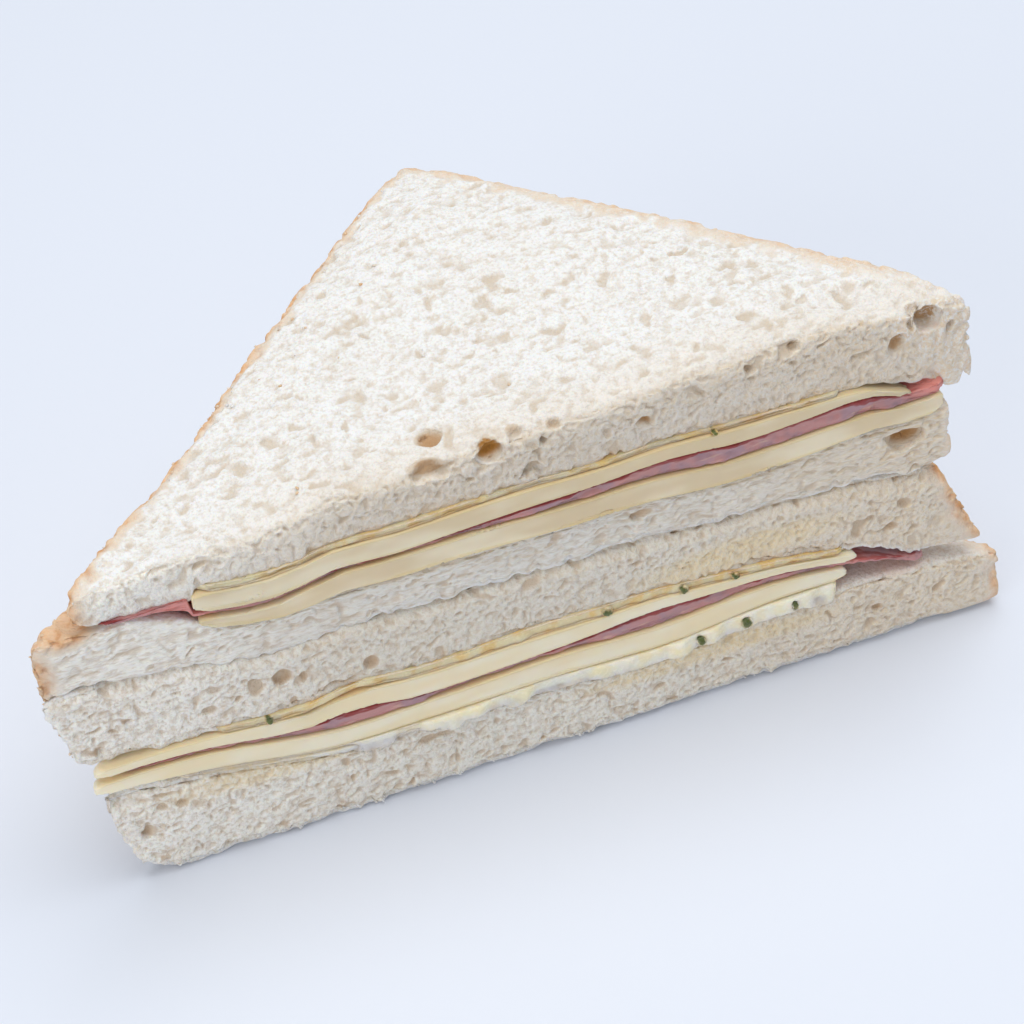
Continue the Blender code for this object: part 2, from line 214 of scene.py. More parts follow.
@dataclass(frozen=True)
class Pits:
    """Irregular dimples of one size in torn crumb."""

    size: Triple
    start: float
    deepest: float
    full: float = 0.92

    def depth(self, points: np.ndarray, salt: int) -> np.ndarray:
        """Works out the depth at each point, in millimetres."""
        return self.deepest * ease(soft_noise(points, self.size, salt), self.start, self.full)


@dataclass(frozen=True)
class Pore:
    """One large air hole, by its middle and its half sizes in millimetres, and how strong the painted shade
    inside it is.
    """

    middle: Triple
    half: Triple
    inside_shade: float = 0.62

    def depth(self, points: np.ndarray, inward: np.ndarray) -> np.ndarray:
        """Works out how deep the hole is behind each surface point.

        Args:
            points: Points of the surface, in millimetres.
            inward: Unit direction into the bread at each point.

        Returns:
            Depth in millimetres, 0 outside the hole.
        """
        half = np.asarray(self.half)
        return far_wall((points - np.asarray(self.middle)) / half, inward / half, 1.0)

    def shade(self, points: np.ndarray) -> np.ndarray:
        """Works out the painted shade in the hole: how far down it each point of the opened surface lies.

        Args:
            points: The surface after it was opened, in millimetres.

        Returns:
            Shares of painted shade from 0, at the rim or outside, to the hole's full strength, at the bottom.
        """
        gap = (points - np.asarray(self.middle)) / np.asarray(self.half)
        on_top = self.middle[1] > 5.0
        across = np.hypot(gap[:, 0], gap[:, 1] if on_top else gap[:, 2])
        down = -gap[:, 2] if on_top else gap[:, 1]
        reach = np.sqrt((gap * gap).sum(axis=1))
        within = (1.0 - ease(across, 0.8, 1.2)) * (1.0 - ease(reach, 1.3, 1.8))
        return self.inside_shade * within * ease(down, -0.1, 0.9)


@dataclass(frozen=True)
class Spot:
    """A soft-edged patch on the cut or the top, by its middle and its half sizes in millimetres."""

    middle: Triple
    half: Triple
    strength: float = 1.0

    def share(self, points: np.ndarray) -> np.ndarray:
        """How strongly the patch covers each point, from 0 to its strength."""
        gap = (points - np.asarray(self.middle)) / np.asarray(self.half)
        return self.strength * (1.0 - ease(np.sqrt((gap * gap).sum(axis=1)), 0.35, 1.0))


def spots_share(spots: tuple[Spot, ...], points: np.ndarray) -> np.ndarray:
    """Joins several patches.

    Args:
        spots: The patches.
        points: Points of the surface, in millimetres.

    Returns:
        The strongest patch at each point.
    """
    total = np.zeros(len(points))
    for spot in spots:
        total = np.maximum(total, spot.share(points))
    return total


class Sculpt:
    """The points and directions of a mesh, read once, moved together and written back."""

    def __init__(self, piece: bpy.types.Object) -> None:
        """Reads a piece.

        Args:
            piece: The piece to shape.
        """
        self.mesh: bpy.types.Mesh = piece.data
        flat = np.empty(len(self.mesh.vertices) * 3, np.float32)
        self.mesh.vertices.foreach_get("co", flat)
        self.points: np.ndarray = flat.reshape(-1, 3).astype(float) / MM + MIDDLE_OF_STACK
        self.mesh.vertex_normals.foreach_get("vector", flat)
        self.normals: np.ndarray = flat.reshape(-1, 3).astype(float)

    def sink(self, depth: np.ndarray) -> None:
        """Moves every point into the food by its own depth."""
        self.points -= self.normals * depth[:, None]

    def square_up(self, share: float, until: float, where: np.ndarray | float = 1.0) -> None:
        """Draws a rounded front edge forward, so that the cut face ends in a crisp edge.

        Args:
            share: How much of the rounding goes, from 0 to 1.
            until: How far behind the front this reaches, in millimetres.
            where: A further share for each point.
        """
        behind = behind_front(self.points)
        self.points[:, 1] -= share * where * behind * (1.0 - ease(behind, until * 0.4, until))

    def keep_inside(self, node: str) -> None:
        """Holds every point within the box of a node.

        Args:
            node: The node's name.
        """
        low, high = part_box(node)
        low_mm = np.array(low) / MM + MIDDLE_OF_STACK
        high_mm = np.array(high) / MM + MIDDLE_OF_STACK
        self.points = np.clip(self.points, low_mm, high_mm)

    def store(self, name: str, values: np.ndarray) -> None:
        """Keeps one number a point for the material."""
        attribute = self.mesh.attributes.new(name, "FLOAT", "POINT")
        attribute.data.foreach_set("value", values.astype(np.float32))

    def write(self) -> None:
        """Writes the moved points back."""
        flat = ((self.points - MIDDLE_OF_STACK) * MM).astype(np.float32).ravel()
        self.mesh.vertices.foreach_set("co", flat)
        self.mesh.update()


class Bench:
    """Hand work on one piece at a time, with Blender's own tools."""

    MOST_ROUNDS: ClassVar[int] = 7
    RIM_COARSER: ClassVar[float] = 3.0
    LYING_FLAT: ClassVar[float] = 0.93

    @staticmethod
    def pick(piece: bpy.types.Object) -> None:
        """Leaves edit mode, deselects everything and makes one piece active.

        Args:
            piece: The piece to work on.
        """
        if bpy.context.object is not None and bpy.context.object.mode != "OBJECT":
            bpy.ops.object.mode_set(mode="OBJECT")
        bpy.ops.object.select_all(action="DESELECT")
        piece.select_set(True)
        bpy.context.view_layer.objects.active = piece

    @staticmethod
    def copy_node(node: str, name: str) -> bpy.types.Object:
        """Copies a solid of the sandwich and merges its loose triangles.

        Args:
            node: The solid's name.
            name: Name of the new piece.

        Returns:
            The copy, closed and selected.
        """
        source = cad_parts[node]
        piece = bpy.data.objects.new(name, source.data.copy())
        piece.data.name = name
        piece.data.materials.clear()
        bpy.context.scene.collection.objects.link(piece)
        Bench.pick(piece)
        bpy.ops.object.mode_set(mode="EDIT")
        bpy.ops.mesh.select_all(action="SELECT")
        bpy.ops.mesh.remove_doubles(threshold=SAME_PLACE)
        bpy.ops.object.mode_set(mode="OBJECT")
        return piece

    @staticmethod
    def remesh(piece: bpy.types.Object, voxel: float) -> None:
        """Rebuilds a piece from even quads.

        Args:
            piece: The piece.
            voxel: Side of a quad in millimetres.
        """
        Bench.pick(piece)
        modifier = piece.modifiers.new("Even quads", "REMESH")
        modifier.mode = "VOXEL"
        modifier.voxel_size = voxel * MM
        bpy.ops.object.modifier_apply(modifier=modifier.name)

    @staticmethod
    def face_normals(piece: bpy.types.Object) -> np.ndarray:
        """Reads where the faces look.

        Args:
            piece: The piece.

        Returns:
            The faces' normals, one row a face.
        """
        faces = piece.data.polygons
        flat = np.empty(len(faces) * 3, np.float32)
        faces.foreach_get("normal", flat)
        return flat.reshape(-1, 3).astype(float)

    @staticmethod
    def select(
        piece: bpy.types.Object, faces: np.ndarray | None = None, edges: np.ndarray | None = None
    ) -> None:
        """Selects faces or edges by their marks and goes into edit mode.

        Args:
            piece: The piece.
            faces: True for each face to select.
            edges: True for each edge to select.
        """
        Bench.pick(piece)
        mesh = piece.data
        mesh.vertices.foreach_set("select", np.zeros(len(mesh.vertices), bool))
        mesh.edges.foreach_set("select", np.zeros(len(mesh.edges), bool) if edges is None else edges)
        mesh.polygons.foreach_set("select", np.zeros(len(mesh.polygons), bool) if faces is None else faces)
        bpy.context.tool_settings.mesh_select_mode = (False, edges is not None, edges is None)
        bpy.ops.object.mode_set(mode="EDIT")

    @staticmethod
    def divide_faces(piece: bpy.types.Object, chosen: np.ndarray) -> None:
        """Cuts the chosen faces in four.

        Args:
            piece: The piece.
            chosen: True for each face to cut.
        """
        Bench.select(piece, faces=chosen)
        bpy.ops.mesh.subdivide(number_cuts=1)
        bpy.ops.object.mode_set(mode="OBJECT")

    @staticmethod
    def divide_edges(piece: bpy.types.Object, longest: float, behind: float) -> None:
        """Cuts the long edges near the cut, and round the rim, until they are short enough.

        Args:
            piece: The piece.
            longest: Longest edge left near the cut, in millimetres; round the rim it is three times that.
            behind: How far behind the cut this goes, in millimetres.
        """
        for _ in range(Bench.MOST_ROUNDS):
            mesh = piece.data
            sculpt = Sculpt(piece)
            ends = np.empty(len(mesh.edges) * 2, np.int32)
            mesh.edges.foreach_get("vertices", ends)
            first, second = sculpt.points[ends[0::2]], sculpt.points[ends[1::2]]
            length = np.linalg.norm(first - second, axis=1)
            near = (first[:, 1] + second[:, 1]) / 2 < behind
            upright = np.abs(sculpt.normals[:, 2]) < Bench.LYING_FLAT
            rim = upright[ends[0::2]] & upright[ends[1::2]]
            chosen = (near & (length > longest)) | (rim & (length > longest * Bench.RIM_COARSER))
            if not chosen.any():
                return
            Bench.select(piece, edges=chosen)
            bpy.ops.mesh.subdivide(number_cuts=1, ngon=False)
            bpy.ops.mesh.select_all(action="SELECT")
            bpy.ops.mesh.quads_convert_to_tris()
            bpy.ops.object.mode_set(mode="OBJECT")

    @staticmethod
    def soften(piece: bpy.types.Object, times: int) -> None:
        """Evens out a piece's facets.

        Args:
            piece: The piece.
            times: How often its points are averaged.
        """
        Bench.pick(piece)
        bpy.ops.object.mode_set(mode="EDIT")
        bpy.ops.mesh.select_all(action="SELECT")
        bpy.ops.mesh.vertices_smooth(factor=0.5, repeat=times)
        bpy.ops.object.mode_set(mode="OBJECT")

    @staticmethod
    def finish(piece: bpy.types.Object, node: str, slot: Slot) -> None:
        """Shades a piece smooth and puts it in the place of its solid.

        Args:
            piece: The finished piece.
            node: The solid that it stands for.
            slot: The record's material slot; not used.
        """
        Bench.pick(piece)
        bpy.ops.object.shade_smooth()
        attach(piece, "root")
        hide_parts(node)
        Bench.report(piece)

    @staticmethod
    def report(piece: bpy.types.Object) -> None:
        """Logs a piece and how many triangles it has."""
        LOG.info("%s: %d triangles", piece.name, sum(len(face.vertices) - 2 for face in piece.data.polygons))


class Wire:
    """A shader socket whose arithmetic adds the nodes that it needs."""

    def __init__(self, looks: "Looks", socket: bpy.types.NodeSocket) -> None:
        """Wraps a socket.

        Args:
            looks: The material that it belongs to.
            socket: The output socket.
        """
        self.looks = looks
        self.socket = socket

    def math(self, operation: str, *others: "Wire | float") -> "Wire":
        """Adds a Math node with this value first."""
        return self.looks.math(operation, self, *others)

    def __add__(self, other: "Wire | float") -> "Wire":
        """Adds."""
        return self.math("ADD", other)

    __radd__ = __add__

    def __mul__(self, other: "Wire | float") -> "Wire":
        """Multiplies."""
        return self.math("MULTIPLY", other)

    __rmul__ = __mul__

    def __sub__(self, other: "Wire | float") -> "Wire":
        """Takes away."""
        return self.math("SUBTRACT", other)

    def __rsub__(self, other: "Wire | float") -> "Wire":
        """Is taken away from the other."""
        return self.looks.math("SUBTRACT", other, self)

    def between(self, start: float, end: float) -> "Wire":
        """Eases the value.

        Args:
            start: Where the result is 0.
            end: Where the result is 1.

        Returns:
            The eased share.
        """
        settings = {"interpolation_type": "SMOOTHSTEP"}
        values = {"Value": self, "From Min": start, "From Max": end}
        return self.looks.node("ShaderNodeMapRange", settings, values)

    def clamp(self) -> "Wire":
        """Holds the value between 0 and 1."""
        return self.looks.node("ShaderNodeClamp", {}, {"Value": self})


class Looks:
    """One material: a Principled shader and the nodes that drive it."""

    def __init__(self, name: str) -> None:
        """Starts a material.

        Args:
            name: Its name.
        """
        self.material = bpy.data.materials.new(name)
        self.material.use_nodes = True
        self.tree = self.material.node_tree
        self.shader = self.tree.nodes["Principled BSDF"]
        self.coordinates = self.node("ShaderNodeTexCoord", {}, {}, "Object")

    def node(
        self, kind: str, settings: dict[str, object], values: dict[str | int, object], output: str | int = 0
    ) -> Wire:
        """Adds a node.

        Args:
            kind: The node's type.
            settings: Its settings, set first.
            values: Values or wires for its inputs.
            output: Which output is wanted.

        Returns:
            That output.
        """
        added = self.tree.nodes.new(kind)
        for name, setting in settings.items():
            setattr(added, name, setting)
        for name, value in values.items():
            self.feed(added.inputs[name], value)
        return Wire(self, added.outputs[output])

    def feed(self, socket: bpy.types.NodeSocket, value: object) -> None:
        """Links a wire to a socket, or sets its value.

        Args:
            socket: The input socket.
            value: The wire, colour or number for it.
        """
        if isinstance(value, Wire):
            self.tree.links.new(value.socket, socket)
        elif isinstance(value, tuple) and socket.type == "RGBA":
            socket.default_value = (*value, 1.0)
        else:
            socket.default_value = value

    def math(self, operation: str, *values: Wire | float) -> Wire:
        """Adds a Math node with its values in order."""
        return self.node("ShaderNodeMath", {"operation": operation}, dict(enumerate(values)))

    def mix(self, first: Wire | Colour, second: Wire | Colour, share: Wire | float) -> Wire:
        """Mixes two colours.

        Args:
            first: The colour at share 0.
            second: The colour at share 1.
            share: How much of the second there is.

        Returns:
            The mixed colour.
        """
        values = {"Factor": share, 6: first, 7: second}
        return self.node("ShaderNodeMix", {"data_type": "RGBA", "clamp_factor": True}, values, 2)

    def kept(self, name: str) -> Wire:
        """The number that the mesh keeps under a name."""
        return self.node("ShaderNodeAttribute", {"attribute_name": name}, {}, "Fac")

    def stretched(self, stretch: Triple) -> Wire:
        """The piece's coordinates, divided by a stretch in each direction."""
        scale = tuple(1.0 / s for s in stretch)
        return self.node("ShaderNodeMapping", {}, {"Vector": self.coordinates, "Scale": scale}, "Vector")

    def cloud(self, size: float, detail: float = 2.0, place: Wire | None = None) -> Wire:
        """Soft noise.

        Args:
            size: Spacing of its hills in millimetres.
            detail: How many finer layers it has.
            place: Where it is read, the piece's coordinates if left out.

        Returns:
            The noise, from 0 to 1.
        """
        values = {"Vector": place or self.coordinates, "Scale": 1.0 / (size * MM), "Detail": detail}
        return self.node("ShaderNodeTexNoise", {}, values, 0)

    def bump(self, height: Wire, strength: float, depth: float) -> Wire:
        """Adds a Bump node.

        Args:
            height: The height that it reads.
            strength: How strong it is, from 0 to 1.
            depth: Height of the relief in millimetres.

        Returns:
            The bumped normal.
        """
        values = {"Height": height, "Strength": strength, "Distance": depth * MM}
        return self.node("ShaderNodeBump", {}, values)

    def set(self, **values: object) -> None:
        """Sets the Principled shader's inputs, each named with underscores for spaces."""
        for name, value in values.items():
            self.feed(self.shader.inputs[name.replace("_", " ").title().replace("Ior", "IOR")], value)

    def glow_through(self, weight: float, reach: Triple) -> None:
        """Lets light scatter inside.

        Args:
            weight: How much of it does.
            reach: How far red, green and blue travel, in millimetres.
        """
        self.shader.inputs["Subsurface Weight"].default_value = weight
        self.shader.inputs["Subsurface Radius"].default_value = tuple(r * MM for r in reach)
        self.shader.inputs["Subsurface Scale"].default_value = 1.0

    def put_on(self, piece: bpy.types.Object) -> None:
        """Gives the material to a piece."""
        piece.data.materials.clear()
        piece.data.materials.append(self.material)


@dataclass(frozen=True)
class CrumbFinish:
    """White bread: pale crumb, painted shade inside its holes (tan, orange-brown where deepest) and on its
    cut faces, and a thin baked crust.
    """

    name: str
    crumb: Colour = paint(244, 243, 242)
    # Colour of the cut faces: darker than the top, painted shade of faces turned away from the overhead
    # light.
    cut: Colour = paint(227, 222, 211)
    # Warmer tone: painted shade on the top near its front edge; on the cut faces, warmer towards the right.
    warm: Colour = paint(230, 212, 184)
    # Painted light: the cut faces lighter towards the left end.
    painted_left_light: Colour = paint(251, 247, 237)
    shaded: Colour = paint(214, 200, 182)
    # Painted shade in the holes and in pores made by noise.
    hollow_shade: Colour = paint(206, 184, 158)
    # Orange-brown painted shade at the bottom of the deepest holes.
    deep: Colour = paint(174, 122, 58)
    beige: Colour = paint(231, 216, 198)
    crust_baked: Colour = paint(230, 180, 130)
    crust_dark: Colour = paint(188, 120, 68)
    smear: Colour = paint(240, 219, 178)
    blush: Colour = paint(226, 180, 158)
    grain: Triple = (1.0, 1.0, 1.0)

    def dress(self, piece: bpy.types.Object) -> None:
        """Makes the material and gives it to a slice.

        Args:
            piece: The slice, which keeps hollow, cut, crust, bake, smear, blush, warmth and chalk.
        """
        looks = Looks(self.name)
        place = looks.stretched(self.grain)
        fine = looks.cloud(0.6, 4.0, place)
        wide = looks.cloud(6.0, 2.0)
        coarse = looks.cloud(1.4, 3.0, place)
        hollow_shade = looks.kept("hollow_shade")
        crust = looks.kept("crust")
        bake = looks.kept("bake")
        smear = looks.kept("smear")
        wisps_and_highlight = (1.0 - (looks.cloud(1.1, 4.0, place) - 0.5).math("ABSOLUTE") * 6.0).clamp()
        colour = self.crumb
        # Cut faces take the darker cut colour, painted shade; then the warm tone, with painted shade near the
        # top's front edge; then painted light towards the left end.
        for tone, where in ((self.cut, "cut"), (self.warm, "warmth_and_front_shade"), (self.painted_left_light, "painted_left_light")):
            colour = looks.mix(colour, tone, looks.kept(where))
        colour = looks.mix(colour, self.shaded, fine.between(0.46, 0.66) * 0.7 + wide.between(0.4, 0.7) * 0.2)
        # Painted shade in pores made by noise.
        colour = looks.mix(colour, self.hollow_shade, coarse.between(0.52, 0.66) * 0.5)
        # Lighter ridges along the wisps: painted highlight; the wisps also bump the surface.
        colour = looks.mix(colour, self.crumb, wisps_and_highlight * 0.4)
        # Painted shade inside the opened holes, orange-brown where deepest.
        colour = looks.mix(colour, self.hollow_shade, hollow_shade.between(0.03, 0.42) * 0.8)
        colour = looks.mix(colour, self.deep, hollow_shade.between(0.45, 1.0))
        colour = looks.mix(colour, self.smear, smear * (0.45 + 0.55 * fine.between(0.38, 0.6)))
        colour = looks.mix(colour, self.blush, looks.kept("blush"))
        scorch = looks.cloud(2.0, 5.0)
        skin = looks.mix(colour, self.beige, bake.between(0.02, 0.3))
        skin = looks.mix(skin, self.crumb, fine.between(0.5, 0.6) * (1.0 - bake) * 0.6)
        baked = (bake * 0.9 + scorch - 0.5).clamp() * crust.between(0.35, 0.9)
        skin = looks.mix(skin, self.crust_baked, baked)
        darkest = scorch.between(0.46, 0.74) * bake.between(0.3, 1.0) * crust * 0.8
        skin = looks.mix(skin, self.crust_dark, darkest)
        colour = looks.mix(colour, skin, crust.between(0.04, 0.4))
        relief = fine * 0.5 + coarse * 0.4 + wisps_and_highlight * 0.3 + scorch * crust
        looks.set(
            base_color=colour,
            roughness=0.92 - smear * 0.4 - crust * 0.1,
            normal=looks.bump(relief, 0.7, 0.5),
            specular_ior_level=0.2,
        )
        looks.glow_through(0.3, (1.6, 1.2, 0.8))
        looks.put_on(piece)


@dataclass(frozen=True)
class CheeseFinish:
    """Mild sliced cheese: pale yellow, smooth, a little moist."""

    name: str
    body: Colour = paint(224, 204, 168)
    # Darker tan at the upper and lower rims of the cut face: painted shade where the cheese meets the bread.
    seam_shade: Colour = paint(220, 188, 126)
    pale: Colour = paint(239, 225, 196)

    def dress(self, piece: bpy.types.Object) -> None:
        """Makes the material and gives it to a slice of cheese.

        Args:
            piece: The slice, which keeps rise.
        """
        looks = Looks(self.name)
        place = looks.stretched((3.0, 1.0, 1.0))
        wide = looks.cloud(6.0, 2.0, place)
        fine = looks.cloud(0.8, 3.0)
        rise = looks.kept("rise")
        colour = looks.mix(self.body, self.pale, wide.between(0.38, 0.66))
        # Painted shade along the rims where the cheese meets the bread.
        edge = (1.0 - rise.between(0.0, 0.16)) + rise.between(0.86, 1.0)
        colour = looks.mix(colour, self.seam_shade, edge * (0.2 + 0.4 * wide))
        looks.set(
            base_color=colour,
            roughness=0.34 + fine * 0.22,
            normal=looks.bump(wide * 0.7 + fine * 0.3, 0.25, 0.2),
            specular_ior_level=0.45,
        )
        looks.glow_through(0.4, (2.4, 1.6, 0.7))
        looks.put_on(piece)


@dataclass(frozen=True)
class HamFinish:
    """Cooked ham: mauve pink meat with a dark red upper edge and a wet sheen."""

    name: str
    meat: Colour = paint(196, 142, 140)
    grey: Colour = paint(176, 140, 148)
    edge: Colour = paint(146, 40, 36)
    # Lighter pink on patches at the ham's ends: partly the meat's own pink, partly painted light lifting the
    # shaded ends.
    flesh_and_painted_light: Colour = paint(226, 146, 136)
    fat: Colour = paint(228, 194, 172)

    def dress(self, piece: bpy.types.Object) -> None:
        """Makes the material and gives it to a slice of ham.

        Args:
            piece: The slice, which keeps rise and flare.
        """
        looks = Looks(self.name)
        place = looks.stretched((4.0, 1.0, 0.7))
        fibre = looks.cloud(1.1, 4.0, place)
        wide = looks.cloud(5.0, 2.0)
        rise = looks.kept("rise")
        colour = looks.mix(self.meat, self.grey, wide.between(0.4, 0.62))
        colour = looks.mix(colour, self.fat, fibre.between(0.58, 0.74) * 0.45)
        dark = rise + (fibre - 0.5) * 0.8
        colour = looks.mix(colour, self.edge, dark.between(0.66, 0.84) * 0.9)
        # Lighter pink patches: partly the meat's own pink, partly painted light.
        colour = looks.mix(colour, self.flesh_and_painted_light, looks.kept("flare"))
        colour = looks.mix(colour, self.edge, looks.kept("flare") * fibre.between(0.5, 0.66) * 0.6)
        looks.set(
            base_color=colour,
            roughness=0.3 + fibre * 0.25,
            normal=looks.bump(fibre, 0.45, 0.3),
            specular_ior_level=0.5,
        )
        looks.glow_through(0.25, (1.8, 0.7, 0.5))
        looks.put_on(piece)


@dataclass(frozen=True)
class SpreadFinish:
    """Mayonnaise with chopped chive: thick, cream coloured and glossy."""

    name: str
    cream: Colour = paint(250, 224, 180)
    yellow: Colour = paint(250, 198, 124)
    herb: Colour = paint(84, 96, 52)

    def dress(self, piece: bpy.types.Object) -> None:
        """Makes the material and gives it to a layer of spread.

        Args:
            piece: The layer, which keeps herb.
        """
        looks = Looks(self.name)
        wide = looks.cloud(3.0, 2.0)
        fine = looks.cloud(0.7, 2.0)
        colour = looks.mix(self.cream, self.yellow, wide.between(0.4, 0.66) * 0.8)
        colour = looks.mix(colour, self.herb, looks.kept("herb"))
        looks.set(
            base_color=colour,
            roughness=0.16 + fine * 0.2,
            normal=looks.bump(wide * 0.6 + fine * 0.4, 0.35, 0.4),
            specular_ior_level=0.5,
        )
        looks.glow_through(0.6, (3.0, 2.2, 1.2))
        looks.put_on(piece)


def along_cut(
    points: np.ndarray, chosen: np.ndarray, axis: int, step: float, reach: float, pick: Callable[..., float]
) -> np.ndarray:
    """Follows a rim of a layer along the cut.

    Args:
        points: The layer's points, in millimetres.
        chosen: True for each point that may be on the rim.
        axis: Which of their coordinates is followed.
        step: Spacing of the places where the rim is read, in millimetres.
        reach: How far from such a place a point still counts, in millimetres.
        pick: Picks the rim's coordinate from those near a place.

    Returns:
        That coordinate of the rim beside each point.
    """
    known = []
    for place in np.arange(points[:, 0].min(), points[:, 0].max() + step, step):
        near = chosen & (np.abs(points[:, 0] - place) < reach)
        if near.any():
            known.append((place, pick(points[near, axis])))
    return np.interp(points[:, 0], *zip(*known))


def rise_on_cut(points: np.ndarray, front: float = 4.0) -> np.ndarray:
    """Works out how high each point lies between a layer's lower and upper face.

    Args:
        points: The layer's points, in millimetres.
        front: How far behind the cut the faces are read, in millimetres.

    Returns:
        Shares from 0 at the lower face to 1 at the upper face.
    """
    near_front = points[:, 1] < front
    lower = along_cut(points, near_front, 2, 2.0, 1.6, np.min)
    upper = along_cut(points, near_front, 2, 2.0, 1.6, np.max)
    return np.clip((points[:, 2] - lower) / np.maximum(upper - lower, 0.2), 0.0, 1.0)


def behind_front(points: np.ndarray) -> np.ndarray:
    """Works out how far behind a layer's own front edge each point lies.

    Args:
        points: The layer's points, in millimetres.

    Returns:
        Distances in millimetres.
    """
    return points[:, 1] - along_cut(points, np.ones(len(points), bool), 1, 1.5, 1.2, np.min)


@dataclass(frozen=True)
class Settling:
    """How the upper half sinks towards its right end, where its filling runs out."""

    start: float = 56.0
    end: float = 74.0
    drop: float = 2.8
    behind: float = 16.0
    corner: tuple[float, float] = (78.4, 80.0)

    def fall(self, points: np.ndarray) -> np.ndarray:
        """How far each point sinks, in millimetres."""
        along = ease(points[:, 0], self.start, self.end) * (1.0 - ease(points[:, 0], *self.corner))
        return self.drop * along * (1.0 - ease(points[:, 1], 4.0, self.behind))


@dataclass(frozen=True)
class Sag:
    """A stretch of a slice's lower rim that hangs down more and more, and ends at a filling."""

    start: float
    full: float
    end: float
    drop: float
    stop: float = 1.5
    behind: tuple[float, float] = (3.0, 12.0)

    def fall(self, points: np.ndarray) -> np.ndarray:
        """How far each point sinks, in millimetres."""
        hangs = 1.0 - ease(points[:, 0], self.end - self.stop, self.end)
        along = ease(points[:, 0], self.start, self.full) * hangs
        return self.drop * along * (1.0 - ease(points[:, 1], *self.behind))


@dataclass(frozen=True)
class Bake:
    """How brown the crust is along one side: at the cut, and from some way behind it on."""

    at_cut: float
    behind: float
    over: float = 25.0

    def share(self, points: np.ndarray) -> np.ndarray:
        """How brown the crust would be at each point, were it on this side."""
        return self.at_cut + (self.behind - self.at_cut) * ease(points[:, 1], 0.0, self.over)


def right_share(points: np.ndarray) -> np.ndarray:
    """How much each point belongs to the right crust side, from 0 at the left one to 1."""
    return ease(points[:, 0], -8.0, 8.0)


@dataclass
class Layer:
    """A layer of the sandwich, worked from a copy of its own solid."""

    node: str
    salt: int
    finish: CrumbFinish | CheeseFinish | HamFinish | SpreadFinish
    suffix: ClassVar[str] = "slice"
    slot: ClassVar[Slot]
    longest: ClassVar[float] = 0.5
    fine_until: ClassVar[float] = 5.0

    def build(self) -> bpy.types.Object:
        """Makes the layer.

        Returns:
            The layer in its place.
        """
        piece = Bench.copy_node(self.node, f"{self.node}_{self.suffix}")
        self.divide(piece)
        sculpt = Sculpt(piece)
        self.shape(sculpt)
        sculpt.keep_inside(self.node)
        sculpt.write()
        self.settle(piece)
        self.finish.dress(piece)
        Bench.finish(piece, self.node, self.slot)
        return piece

    def divide(self, piece: bpy.types.Object) -> None:
        """Makes the faces near the cut small enough to shape."""
        Bench.divide_edges(piece, self.longest, self.fine_until)

    def shape(self, sculpt: Sculpt) -> None:
        """Shapes the layer's own surface."""
        raise NotImplementedError

    def settle(self, piece: bpy.types.Object) -> None:
        """Evens out the shaped surface, where a layer needs that."""


@dataclass
class Skin:
    """A slice's skin before it is opened: its points, and what each of them is part of."""

    points: np.ndarray
    inward: np.ndarray
    on_cut: np.ndarray
    on_top: np.ndarray
    crust: np.ndarray
    rise: np.ndarray
    bend: np.ndarray


